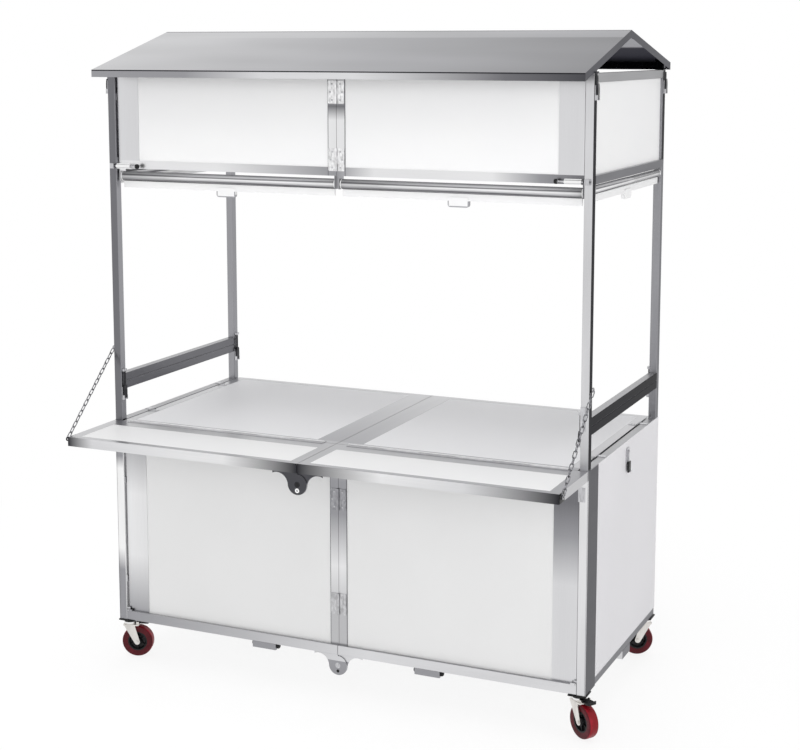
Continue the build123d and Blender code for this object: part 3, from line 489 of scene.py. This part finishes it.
LEVEL_PAINTED_SHADING = (
    ((LOOKS_UP, MIDDLE_STRIPS, COUNTER), ("y", ((-0.34, GREY), (0.34, SILVER)))),
    ((LOOKS_UP, FLAP), SILVER_TO_GREY),
    ((KNUCKLES, KNUCKLE_TOPS), PALE),
    ((LOOKS_FRONT, FLAP_EDGE, FLAP_HEIGHT),
     ("x", ((-0.7745, DARK), (-0.69, LIGHT), (-0.24, PALE), (0.0, DARK), (0.26, PALE), (0.5, LIGHT),
            (0.7745, DARK)))),
    ((LOOKS_FRONT, FLAP_EDGE, BELL_OF_FLAP), DEEP),
    ((LOOKS_FRONT, FRONT_RAIL, FOOT), ("x", ((-0.75, GREY), (0.1, LIGHT), (0.75, LIGHT)))),
    ((LOOKS_FRONT, FRONT_RAIL, BELL_OF_RAIL), GREY),
    ((FRONT_RAIL, STUB_HEIGHT, STUBS), GREY),
)
FASCIA = (("Y", -1.5, -0.7), FRONT_EAVE)
ROOF_PAINTED_SHADING = (
    ((BELOW_RIDGE,), SILVER_TO_GREY),
    ((RIDGE,), SLATE),
    ((LOOKS_DOWN,), DEEP),
    ((LOOKS_DOWN, REAR_SLOPE), ("z", ((1.935, DEEP), (1.94, LIGHT)))),
    ((LOOKS_FRONT, REAR_EAVE), INK),
    (FASCIA,
     ("x", ((-0.775, GREY), (-0.45, GREY), (-0.2, LIGHT), (0.1, LIGHT), (0.55, SLATE), (0.775, DEEP)))),
    ((*FASCIA, FASCIA_BEND), DARK),
    ((LOOKS_RIGHT,), DEEP),
)


class CART_OT_finishes(bpy.types.Operator):
    """Gives every CAD node its real material"""
    bl_idname = "cart.finishes"
    bl_label = "Finishes"

    def execute(self, context):
        look = context.scene.cart_finishes
        # Brushed steel tube: fine marks run along each post and rail, and each side gets the painted
        # reflection of another part of the room, or painted shade; the sides that look right are painted
        # darker.
        rails = (("y", (BETWEEN_POSTS,)),)
        side = ((RIGHT, LOOKS_RIGHT), look.steel_painted_shade)
        FINISH["post"] = steel("brushed_stainless_posts", look.steel, "z", rails, (side, *POST_PAINTED_SHADING),
                               drift=0.35, edge="#BEBEBE")
        # Brushed steel strips and stiles beside the boards: broad soft painted reflections and shade from
        # foot to top.
        FINISH["panel"] = steel("brushed_stainless_strips", LIGHT, "z", (), PANEL_PAINTED_SHADING, drift=0.8,
                                depth=0.04)
        # Brushed steel of the sign: its two rails are ground along their length, and its stiles upright.
        # Its tones are painted reflections and painted shade, and its top rail is painted white where the
        # roof's shade falls.
        lying = (("x", (SIGN_BOTTOM,)), ("x", (SIGN_TOP,)))
        FINISH["sign"] = steel("brushed_stainless_sign", LIGHT, "z", lying, SIGN_PAINTED_SHADING, drift=0.5,
                               depth=0.03)
        # Brushed steel trays and bottom rails: the grain turns where strips run from front to rear.
        # Its tones are painted reflections and painted shade, with a pale painted highlight on the hinge's
        # knuckles.
        crossed = (("y", (MIDDLE_OF_TRAYS, TRAY_HEIGHT)), ("y", (TRAY_ENDS, TRAYS)))
        FINISH["level"] = steel("brushed_stainless_level", SILVER, "x", crossed, LEVEL_PAINTED_SHADING, drift=0.5,
                                depth=0.05)
        # Thin roof sheet, painted paler at the left than at the right, with broad soft clouding, as painted
        # reflections.
        # Painted shade darkens its underside, the rear fascia's inner face, the front fascia's bend and the
        # ends that look right; the underside and those ends also mirror less.
        FINISH["roof"] = steel("roof_sheet_stainless", ("x", ((-0.775, SILVER), (0.1, GREY), (0.775, SLATE))),
                               "x", (), ROOF_PAINTED_SHADING, drift=0.7, width=0.25, depth=0.12, fine=0.15,
                               edges=(((LOOKS_DOWN,), GREY), ((LOOKS_RIGHT,), LIGHT)))
        # Zinc plate is bluish white, with bright and dull spots of grain and painted reflection.
        FINISH["zinc"] = steel("bright_zinc_plate", "#C2C2C5", "z", depth=0.25, drift=0.02, width=0.004,
                               fine=0.5)
        # Plated chain is darker, with bright and dull spots of painted reflection from link to link.
        FINISH["chain"] = steel("zinc_plated_chain", "#86868A", "z", depth=0.75, drift=0.008, width=0.004,
                                fine=0.1)
        # Pressed hinges are mottled with painted reflection: pale on the sign, and painted shade makes them
        # greyer on the front, most so under the counter.
        FINISH["hinge"] = steel("pressed_steel_hinges", PALE, "z", (),
                                (((("z", 0, 1),), GREY), ((("z", 0, 0.4),), SILVER)),
                                depth=0.24, drift=0.012, width=0.005, fine=0.3)
        # Forks are plated a warm silver with soft bands of painted reflection.
        FINISH["fork"] = steel("zinc_plated_forks", "#DAD7D3", "z", depth=0.12, drift=0.05, width=0.02)
        # Spring steel levers look nearly black, with a dull shine made uneven by painted reflection.
        FINISH["lever"] = steel("dark_spring_steel", "#3A3A3D", "z", depth=0.35, drift=0.03, width=0.01)
        # A chromed race is a bright, sharp ring above the fork.
        FINISH["chrome"] = steel("chromed_race", "#F0F0F0", "x", depth=0.06, roughness=0.12)
        # Coated boards are a soft even white, and painted shade makes them a little greyer on the base, most
        # on its sides that look right.
        FINISH["board"] = coated_board("coated_white_board", look.board, "#EBEBEC", 0.5, 0.004, (
            ((BASE_BOARDS, LOOKS_FRONT), "#DFDFDF", "#DCDCDC"),
            ((BASE_BOARDS, LOOKS_RIGHT), "#DBDADD", "#D8D7DA"),
        ))
        # Counter boards have the same soft coat, and the flap's are slightly darker.
        FINISH["counter"] = coated_board("counter_board", look.counter, "#E8E8EA", 0.5, 0.006, (
            ((FLAP_BOARD,), "#E8E8E8", "#E4E4E5"),
        ))
        # Satin aluminium tubes and cores are pale and a little blurred. Those of the side blinds lie across.
        FINISH["alloy"] = steel("satin_aluminium", "#D6D6D8", "x", (("y", (SIDE_TUBES,)),), (), 0.4)
        # Powder coated bars are white, and each pull tab has a grey rim of painted shade at its foot and its
        # two sides.
        tab_foot, tab_height = ("z", 1.4, 1.4951), ("z", 1.4, 1.5096)
        painted_shade_rims = ((tab_foot, ("|x|", 0.3, 0.45)), (tab_height, ("|x|", 0.3435, 0.347)),
                (tab_height, ("|x|", 0.404, 0.4075)))
        FINISH["hem"] = coated_board("white_blind_bar", "#ECECEC", "#E8E8E9", 0.4, 0.003,
                                     [(rim, "#9C9CA0", "#949498") for rim in painted_shade_rims])
        # Vinyl film is glossy, and each roll has painted reflections as pale and grey bands along its length.
        FINISH["film"] = film("wound_vinyl_film", "x")
        FINISH["side_film"] = film("wound_vinyl_film_of_sides", "y")
        # Nylon flanges and bushes are plain white with a soft sheen.
        FINISH["white"] = moulded("white_nylon", "#F0F0F0", "#FAFAFA", 0.4, 0.002)
        # Polyurethane tyres are deep red with paler scuffs, and darker at their sides.
        FINISH["tyre"] = moulded("polyurethane_tread", look.tyre, "#A62032", 0.4, 0.002, 0.03, 0.25)
        FINISH["tyre_side"] = moulded("polyurethane_side", look.tyre_side, "#641220", 0.45, 0.002, 0.03, 0.25)
        # Nylon hubs, caps, knobs and pedals are black with faint grey scuffs.
        FINISH["black"] = moulded("black_nylon", "#0C0C0D", "#222225", 0.45, 0.002, gloss=0.3)
        kinds = (
            (("side_boards", "front_boards"), "board"),
            (("counter_board", "flap_board"), "counter"),
            (("caster_wheel",), "tyre"),
            (("brake_pedal",), "black"),
            (("front_hem", "side_hem"), "hem"),
            (("front_blind_tube", "side_blind_tube"), "alloy"),
            (("roof_sheet",), "roof"),
            (("caster_fork",), "fork"),
            (("middle_hinges",), "hinge"),
            (("roof_latch", "seam_latch"), "lever"),
            (("flap_chain",), "chain"),
            (("hook_latch", "fittings", "barrel_bolt"), "zinc"),
            (("front_frame",), "panel"),
            (("counter_frame", "flap_frame", "bottom_rails"), "level"),
            (("sign_frame",), "sign"),
            (("base_frame", "upper_frame"), "post"),
        )
        for name in frame["nodes"]:
            dress(name, FINISH[next(finish for starts, finish in kinds if name.startswith(starts))])
        return {"FINISHED"}


class CART_OT_chains(bpy.types.Operator):
    """Models the flap's chains from one welded link, repeated from the leaf's ring to the post's ring"""
    bl_idname = "cart.chains"
    bl_label = "Chains"

    def execute(self, context):
        size = context.scene.cart_sizes
        wire, width = size.link_wire, size.link_width
        # The centres of the leaf's ring and of the post's ring, and the links between them. The first link
        # hangs a little off its ring's centre, and two links play in each other.
        low, high = at(782, -611, 769), at(782, -355, 1005)
        count, hang, play = 17, 0.0034, 0.0006
        inner = ((high - low).length - 2 * hang + play * (count - 1)) / count
        reach = (inner + 2 * wire - width) / 2
        clear()
        bpy.ops.mesh.primitive_torus_add(major_radius=(width - wire) / 2, minor_radius=wire / 2,
                                         major_segments=20, minor_segments=8, rotation=(math.pi / 2, 0, 0))
        link = bpy.context.object
        only(link)
        bpy.ops.object.transform_apply(location=True, rotation=True, scale=True)
        bpy.ops.object.mode_set(mode="EDIT")
        # The ring's two halves are drawn apart, which makes it a long link. Points at halfway stay.
        halfway = 0.0002
        for way in (-1, 1):
            bpy.ops.mesh.select_mode(type="VERT")
            bpy.ops.mesh.select_all(action="DESELECT")
            mesh = bmesh.from_edit_mesh(link.data)
            for point in mesh.verts:
                point.select_set(way * point.co.z > halfway)
            mesh.select_flush_mode()
            bmesh.update_edit_mesh(link.data)
            bpy.ops.transform.translate(value=(0, 0, way * reach))
        bpy.ops.object.mode_set(mode="OBJECT")
        bpy.ops.object.shade_smooth()
        along = (high - low).normalized()
        lean = Matrix.Rotation(math.atan2(-along.y, along.z), 4, "X")
        for side, sign in SIDES.items():
            links = []
            for i in range(count):
                centre = low + along * (hang + inner / 2 + i * (inner - play))
                centre.x *= sign
                turn = Matrix.Rotation(math.pi / 2 * (i % 2), 4, "Z")
                links.append(copied(link, Matrix.Translation(centre) @ lean @ turn))
            chain = finish(together(links), f"chain_{side}", FINISH["chain"], f"flap_{side}", "zinc")
            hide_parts(f"flap_chain_{side}")
            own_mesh(chain)
        bpy.data.objects.remove(link)
        return {"FINISHED"}


class CART_OT_casters(bpy.types.Operator):
    """Models the tyres, ribbed hubs, races, dust rings and mounting plates of the casters"""
    bl_idname = "cart.casters"
    bl_label = "Casters"

    def execute(self, context):
        # Outlines as (radius, height) in millimetres. A tyre and a hub are alike on both sides. A race and a
        # dust ring lie round the kingpin, with heights above the floor.
        half_tread = [(49.6, 8), (49.3, 11.3), (48.3, 13.7), (46.4, 15.2), (44, 15.7), (31, 14)]
        tread = [(r, -h) for r, h in reversed(half_tread)] + half_tread
        half_hub = [(5, 16.8), (11, 16.8), (12, 15.8), (13.2, 5), (15, 3.5), (23.5, 3.5), (25.3, 5),
                    (26.6, 13), (27.6, 13.9), (30.9, 13.9)]
        hub = [(r, -h) for r, h in half_hub] + [(r, h) for r, h in reversed(half_hub)]
        race = [(19, 110.6), (21, 110.6), (21.4, 111.6), (21.4, 115), (20.6, 116), (19, 116)]
        dust_ring = [(17.2, 116.6), (21, 116.6), (21.6, 117.4), (21.6, 120.2), (17.2, 120.2)]
        # Ribs and plates are in metres, from the axle and from the floor. A tyre's side is where its faces
        # look along the axle more than flat_side.
        rib_count, rib_half = 6, (0.0013, 0.0095)
        rib_start, rib_end = 0.0125, 0.0262
        plate_half, plate_bottom, plate_top = 0.027, 0.1206, 0.1254
        flat_side = 0.75
        for corner in [f"{end}_{side}" for end in ENDS for side in SIDES]:
            side = corner.split("_")[1]
            spin, swivel = JOINTS[f"wheel_spin_{corner}"], JOINTS[f"swivel_{corner}"]
            middle, axle = Vector(spin["pos_m"]), Vector(spin["axis"])
            pivot = Vector((*swivel["pos_m"][:2], 0))
            body = f"wheel_{corner}"
            tyre = finish(spun(tread, middle, axle, 64), f"tyre_{corner}", FINISH["tyre"], body, "red_tyre")
            tyre.data.materials.append(FINISH["tyre_side"])
            for face in tyre.data.polygons:
                face.material_index = int(abs(face.normal.dot(axle)) > flat_side)
            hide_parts(f"caster_wheel_{corner}")
            core = spun(hub, middle, axle, 48)
            upright = Vector((0, 0, 1))
            turned = Matrix((axle.cross(upright), axle, upright)).transposed().to_4x4()
            ribs = []
            for i in range(rib_count):
                rib = block(Vector((-rib_half[0], -rib_half[1], rib_start)), Vector((*rib_half, rib_end)))
                rounded(rib, 0.0005, 2)
                turn = Matrix.Rotation(i * 2 * math.pi / rib_count, 4, "Y")
                rib.matrix_world = Matrix.Translation(middle) @ turned @ turn
                only(rib)
                bpy.ops.object.transform_apply(location=True, rotation=True, scale=True)
                ribs.append(rib)
            finish(together([*ribs, core]), f"hub_{corner}", FINISH["black"], body, "black_plastic")
            finish(spun(race, pivot, (0, 0, 1)), f"race_{corner}", FINISH["chrome"], f"fork_{corner}", "zinc")
            finish(spun(dust_ring, pivot, (0, 0, 1)), f"dust_ring_{corner}", FINISH["black"],
                   f"fork_{corner}", "black_plastic")
            plate = block(pivot + Vector((-plate_half, -plate_half, plate_bottom)),
                          pivot + Vector((plate_half, plate_half, plate_top)))
            rounded(plate, 0.0015, 3)
            finish(plate, f"mount_plate_{corner}", FINISH["black"], f"{side}_frame", "black_plastic")
        return {"FINISHED"}


class CART_OT_blinds(bpy.types.Operator):
    """Models each blind's film wound on its tube, with the tube's core and end flanges"""
    bl_idname = "cart.blinds"
    bl_label = "Blinds"
    steps_a_turn = 28
    free_edge = 12  # millimetres of film between the roll and its end in the bar

    def wound(self, context, name, ends, core, outer, turns, blend_bodies):
        """Film wound on a tube between two ends, its free edge let into the bar below."""
        start, end = ends
        axis = (end - start).normalized()
        out = Vector((0, 0, 1)).cross(axis)
        count = int(turns * self.steps_a_turn)
        outline = []
        for i in range(count + 1):
            angle = -math.pi / 2 - 2 * math.pi * turns * (1 - i / count)
            radius = core + (outer - core) * i / count
            outline.append(start + out * radius * math.cos(angle) + Vector((0, 0, radius * math.sin(angle))))
        edge = outline[-1]
        outline += [edge - Vector((0, 0, 0.001 * i)) for i in range(1, self.free_edge + 1)]
        mesh = bpy.data.meshes.new(name)
        mesh.from_pydata(outline, [(i, i + 1) for i in range(len(outline) - 1)], [])
        piece = bpy.data.objects.new(name, mesh)
        context.scene.collection.objects.link(piece)
        only(piece)
        bpy.ops.object.mode_set(mode="EDIT")
        bpy.ops.mesh.select_all(action="SELECT")
        bpy.ops.mesh.extrude_region_move(TRANSFORM_OT_translate={"value": end - start})
        bpy.ops.mesh.select_all(action="SELECT")
        bpy.ops.mesh.normals_make_consistent(inside=False)
        bpy.ops.object.mode_set(mode="OBJECT")
        bpy.ops.object.shade_smooth()
        thick = piece.modifiers.new("thickness", "SOLIDIFY")
        thick.thickness = context.scene.cart_sizes.film_thick
        thick.offset = 0
        bpy.ops.object.modifier_apply(modifier=thick.name)
        finish(piece, name, FINISH["film" if name.startswith("front") else "side_film"], None, "blind_white")
        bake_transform(piece)

    def execute(self, context):
        for side, sign in SIDES.items():
            # Each roll's two ends, its radius in millimetres, its turns and the body that carries it.
            spans = {
                "front": (at(sign * 12, -340, 1545), at(sign * 739, -340, 1545), 15.0, 9, f"front_{side}"),
                "side": (at(sign * 762.5, -334.5, 1553), at(sign * 762.5, 334.5, 1553), 12.0, 9.5,
                         f"{side}_frame"),
            }
            for place, (start, end, radius, turns, carrier) in spans.items():
                tube = f"{place}_blind_tube_{side}"
                name = f"{place}_blind_{side}"
                axis = (end - start).normalized()
                half = (end - start).length * 500
                middle = (start + end) / 2
                # The core's tube is 1.5 mm thick and stands 3 mm out of the film at both ends.
                core_r = radius - 4.9
                bore_r, reach = core_r - 1.5, half + 3
                core = [(bore_r, -reach), (core_r, -reach), (core_r, reach), (bore_r, reach)]
                made = spun(core, middle, axis, 32)
                finish(made, f"{name}_core", FINISH["alloy"], tube, "aluminium")
                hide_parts(tube)
                rim = radius - 0.1
                for tag, way in (("inner", -1), ("outer", 1)):
                    flange = [(2, 0.4), (rim - 0.6, 0.4), (rim, 1), (rim, 2.6), (rim - 0.6, 3.2), (2, 3.2)]
                    turned = spun(flange, middle + axis * way * half / 1000, axis * way, 40)
                    finish(turned, f"{name}_{tag}_flange", FINISH["white"], tube, "blind_white")
                inner, outer = core_r / 1000 + 0.0002, radius / 1000 - 0.00035
                bodies = (carrier, f"{place}_hem_bar_{side}")
                self.wound(context, name, (start, end), inner, outer, turns, bodies)
        return {"FINISHED"}


class CART_OT_caps(bpy.types.Operator):
    """Models the black caps on the flap's ends and the stubs, the bolt knobs and the hook latch's grip"""
    bl_idname = "cart.caps"
    bl_label = "Caps and grips"

    def execute(self, context):
        # Places and outlines in millimetres. The caps start at the flap's front edge and cover its height.
        length = context.scene.cart_sizes.cap_width * 1000
        flap_front, flap_under, flap_top = -618.8, 749.2, 776.8
        plug = [(0, 0), (8.6, 0), (8.6, 2.5), (7.8, 5), (6, 6.8), (3.2, 7.8), (0, 8.1)]
        knob = [(0, 0), (5.2, 0), (6.6, 1.2), (7.2, 3), (7.2, 7.5), (6.6, 9.4), (5.0, 10.3), (3.05, 10.3)]
        knob_reach = 6.8
        stub_middles, stub_half = {"left": -252, "right": 292}, 40
        for side, sign in SIDES.items():
            cap = block(at(sign * 774.3, flap_front, flap_under),
                        at(sign * 776.2, flap_front + length, flap_top))
            rounded(cap, 0.0007, 3)
            finish(cap, f"flap_cap_{side}", FINISH["black"], f"flap_{side}", "black_plastic")
            low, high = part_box(f"barrel_bolt_{side}")
            tail = low[0] if sign > 0 else high[0]
            foot = (tail - sign * knob_reach / 1000, (low[1] + high[1]) / 2, (low[2] + high[2]) / 2)
            made = spun(knob, foot, (sign, 0, 0), 32)
            finish(made, f"bolt_knob_{side}", FINISH["black"], f"barrel_bolt_{side}", "black_plastic")
            for tag, way in (("inner", -1), ("outer", 1)):
                made = spun(plug, at(stub_middles[side] + way * stub_half, -351, 116), (way, 0, 0), 32)
                finish(made, f"stub_plug_{side}_{tag}", FINISH["black"], f"bottom_rails_{side}",
                       "black_plastic")
        sleeve = block(at(780.4, 3, 683.6), at(785.6, 27, 716))
        rounded(sleeve, 0.0016, 3)
        finish(sleeve, "hook_grip", FINISH["black"], "hook_latch", "black_plastic")
        return {"FINISHED"}


class CART_OT_pins(bpy.types.Operator):
    """Models the pin heads and bushes on the bells under the counter and the bottom rail"""
    bl_idname = "cart.pins"
    bl_label = "Bell pins"

    def execute(self, context):
        washer = [(2, 0), (8.4, 0), (8.6, 0.15), (8.6, 0.35), (8.4, 0.45), (2, 0.45)]
        head = [(0, 0), (5.2, 0), (5.5, 0.25), (5.3, 0.75), (4.6, 0.98), (0, 0.98)]
        bush = [(3.1, 0), (6.4, 0), (6.7, 0.3), (6.4, 0.9), (3.6, 0.98), (3.1, 0.7)]
        plug = [(0, 0), (4.6, 0), (4.8, 0.4), (4.4, 0.9), (0, 0.98)]
        # Each bell's pin stands at y and z, and a bush or a plug sits in the lock hole below it.
        lock_hole = -17.6
        bells = (
            ("counter", "flap_left", -618, 716, (("washer", washer, "lever", 0), ("head", head, "black", 0),
                                                 ("bush", bush, "white", lock_hole))),
            ("rail", "bottom_rails_left", -365, 92, (("washer", washer, "zinc", 0), ("head", head, "zinc", 0),
                                                     ("plug", plug, "black", lock_hole))),
        )
        for place, body, y, z, pieces in bells:
            for tag, outline, kind, rise in pieces:
                made = spun(outline, at(0, y, z + rise), (0, -1, 0), 32)
                slot = {"black": "black_plastic", "white": "blind_white"}.get(kind, "zinc")
                finish(made, f"{place}_bell_{tag}", FINISH[kind], body, slot)
        return {"FINISHED"}


class CART_OT_screws(bpy.types.Operator):
    """Models the screw heads on the leaves of the middle and counter hinges"""
    bl_idname = "cart.screws"
    bl_label = "Hinge screws"

    def execute(self, context):
        radius = context.scene.cart_sizes.screw_width * 500
        head = [(0.0, -0.3), (radius, -0.3), (radius, 0.2), (radius * 0.8, 0.75), (radius * 0.42, 1.05),
                (radius * 0.3, 0.7), (0.0, 0.7)]
        screw = spun(head, (0, 0, 0), (0, 0, 1), 16)
        # In millimetres: the middle hinges' bottoms and a leaf's holes as (x, rise), then the counter hinges.
        hinge_bottoms, leaf_holes = (249, 572, 1583, 1777), ((13, 10), (19, 33), (13, 56))
        leaf_front, counter_hinges, hinge_shift = -357.5, (-220, 220), 10
        counter_holes, counter_leaf_top = (728, 737), 778.5
        front = Matrix.Rotation(math.pi / 2, 4, "X")
        for side, sign in SIDES.items():
            heads = []
            for bottom in hinge_bottoms:
                for x, rise in leaf_holes:
                    place = at(sign * x, leaf_front, bottom + rise)
                    heads.append(copied(screw, Matrix.Translation(place) @ front))
            finish(together(heads), f"hinge_screws_{side}", FINISH["zinc"], f"front_{side}", "zinc")
            heads = []
            for y in counter_hinges:
                for x in counter_holes:
                    place = at(sign * x, y + hinge_shift, counter_leaf_top)
                    heads.append(copied(screw, Matrix.Translation(place)))
            finish(together(heads), f"counter_screws_{side}", FINISH["zinc"], f"counter_{side}", "zinc")
        bpy.data.objects.remove(screw)
        return {"FINISHED"}


class CART_OT_stage(bpy.types.Operator):
    """Makes the pale floor, the studio light and the camera"""
    bl_idname = "cart.stage"
    bl_label = "Stage"

    def execute(self, context):
        scene = context.scene
        scene.view_settings.view_transform = "Standard"
        clear()
        bpy.ops.mesh.primitive_plane_add(size=30, location=(0, 0, -0.0005))
        floor = context.object
        floor.name = "studio_floor"
        made, tree, output, place = new_material("pale_floor")
        rays = add(tree, "ShaderNodeLightPath")
        mirrored = add(tree, "ShaderNodeMath", {"operation": "MAXIMUM"},
                       {0: rays.outputs["Is Glossy Ray"], 1: rays.outputs["Is Transmission Ray"]})
        # The camera sees mostly white paper that keeps a soft shadow near the cart and none far from it.
        reach = add(tree, "ShaderNodeVectorMath", {"operation": "LENGTH"}, {0: place})
        shadow_starts_to_fade, shadow_ends, least = 0.9, 2.4, 0.84
        far = add(tree, "ShaderNodeMapRange",
                  links={"Value": reach.outputs["Value"], 1: shadow_starts_to_fade, 2: shadow_ends, 3: least,
                         4: 1.0})
        seen = add(tree, "ShaderNodeMath", {"operation": "MULTIPLY"},
                   {0: rays.outputs["Is Camera Ray"], 1: far.outputs[0]})
        share = add(tree, "ShaderNodeMath", {"operation": "MAXIMUM"},
                    {0: seen.outputs[0], 1: mirrored.outputs[0]})
        paper = add(tree, "ShaderNodeBsdfPrincipled",
                    links={"Base Color": linear("#FFFFFF"), "Roughness": 0.9})
        glow = add(tree, "ShaderNodeEmission", links={"Color": (1, 1, 1, 1), "Strength": 1.0})
        surface = add(tree, "ShaderNodeMixShader", links={0: share.outputs[0], 1: paper.outputs["BSDF"],
                                                          2: glow.outputs["Emission"]})
        tree.links.new(surface.outputs["Shader"], output.inputs["Surface"])
        floor.data.materials.append(made)

        world = bpy.data.worlds.new("studio")
        scene.world = world
        world.use_nodes = True
        tree = world.node_tree
        tree.nodes.clear()
        rays = add(tree, "ShaderNodeLightPath")
        seen = add(tree, "ShaderNodeMath", {"operation": "MAXIMUM"},
                   {0: rays.outputs["Is Camera Ray"], 1: rays.outputs["Is Glossy Ray"]})
        seen = add(tree, "ShaderNodeMath", {"operation": "MAXIMUM"},
                   {0: seen.outputs["Value"], 1: rays.outputs["Is Transmission Ray"]})
        # What is seen or mirrored of the room is white. It lights the cart less, so that the lamps model it.
        room_light = 0.58
        level = add(tree, "ShaderNodeMapRange", links={"Value": seen.outputs["Value"], 3: room_light, 4: 1.0})
        sky = add(tree, "ShaderNodeBackground", links={"Color": (1, 1, 1, 1), "Strength": level.outputs[0]})
        add(tree, "ShaderNodeOutputWorld", links={"Surface": sky.outputs["Background"]})

        # No lamp shows in the metal, which mirrors only the white room, so that no side has a burnt spot.
        # Each lamp's name, place, width in metres and power in watts. All point at the cart's middle.
        lamps = (
            ("key_light", (1.6, -6.0, 2.2), 4.5, 125),
            ("right_light", (5.5, -1.0, 2.6), 3.5, 52),
            ("left_light", (-5.5, 0.0, 2.6), 3.5, 52),
            ("rear_light", (-1.0, 5.5, 2.4), 4.0, 90),
            ("top_light", (0.0, -1.0, 5.5), 4.0, 100),
        )
        lit = Vector((0, 0.1, 1.0))
        for name, place, size, power in lamps:
            lamp = bpy.data.lights.new(name, "AREA")
            lamp.shape = "DISK"
            lamp.size = size
            lamp.energy = power
            made = bpy.data.objects.new(name, lamp)
            made.location = place
            made.rotation_euler = (lit - Vector(place)).to_track_quat("-Z", "Y").to_euler()
            made.visible_glossy = False
            scene.collection.objects.link(made)

        # The photo's view: its width, focal length and shift in pixels, and the camera's tilt and turn.
        photo_width, focal, shift = 800, 1612.722, -105
        tilt, turn = 0.13732, 0.41943
        camera = bpy.data.cameras.new("camera")
        camera.sensor_width = 36
        camera.lens = 36 * focal / photo_width
        camera.shift_y = shift / photo_width
        holder = bpy.data.objects.new("camera", camera)
        holder.location = (2.06553, -4.43930, 1.93814)
        holder.rotation_euler = (math.pi / 2 - tilt, 0, turn)
        scene.collection.objects.link(holder)
        scene.camera = holder
        return {"FINISHED"}


class CART_PT_panel(bpy.types.Panel):
    """Lists the cart's pieces"""
    bl_idname = "CART_PT_panel"
    bl_label = "Food Cart"
    bl_space_type = "VIEW_3D"
    bl_region_type = "UI"
    bl_category = "Food Cart"

    def draw(self, context):
        column = self.layout.column()
        for operator in OPERATORS:
            column.operator(operator.bl_idname)
        for group in (context.scene.cart_finishes, context.scene.cart_sizes):
            for name in group.__annotations__:
                column.prop(group, name)


OPERATORS = (CART_OT_finishes, CART_OT_chains, CART_OT_casters, CART_OT_blinds, CART_OT_caps, CART_OT_pins,
             CART_OT_screws, CART_OT_stage)
CLASSES = (CartFinishes, CartSizes, *OPERATORS, CART_PT_panel)


def register():
    for made in CLASSES:
        bpy.utils.register_class(made)
    bpy.types.Scene.cart_finishes = bpy.props.PointerProperty(type=CartFinishes)
    bpy.types.Scene.cart_sizes = bpy.props.PointerProperty(type=CartSizes)


def unregister():
    del bpy.types.Scene.cart_finishes
    del bpy.types.Scene.cart_sizes
    for made in reversed(CLASSES):
        bpy.utils.unregister_class(made)


def main():
    register()
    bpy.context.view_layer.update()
    bpy.ops.cart.finishes()
    bpy.ops.cart.chains()
    bpy.ops.cart.casters()
    bpy.ops.cart.blinds()
    bpy.ops.cart.caps()
    bpy.ops.cart.pins()
    bpy.ops.cart.screws()
    bpy.ops.cart.stage()


if __name__ == "__main__":
    main()
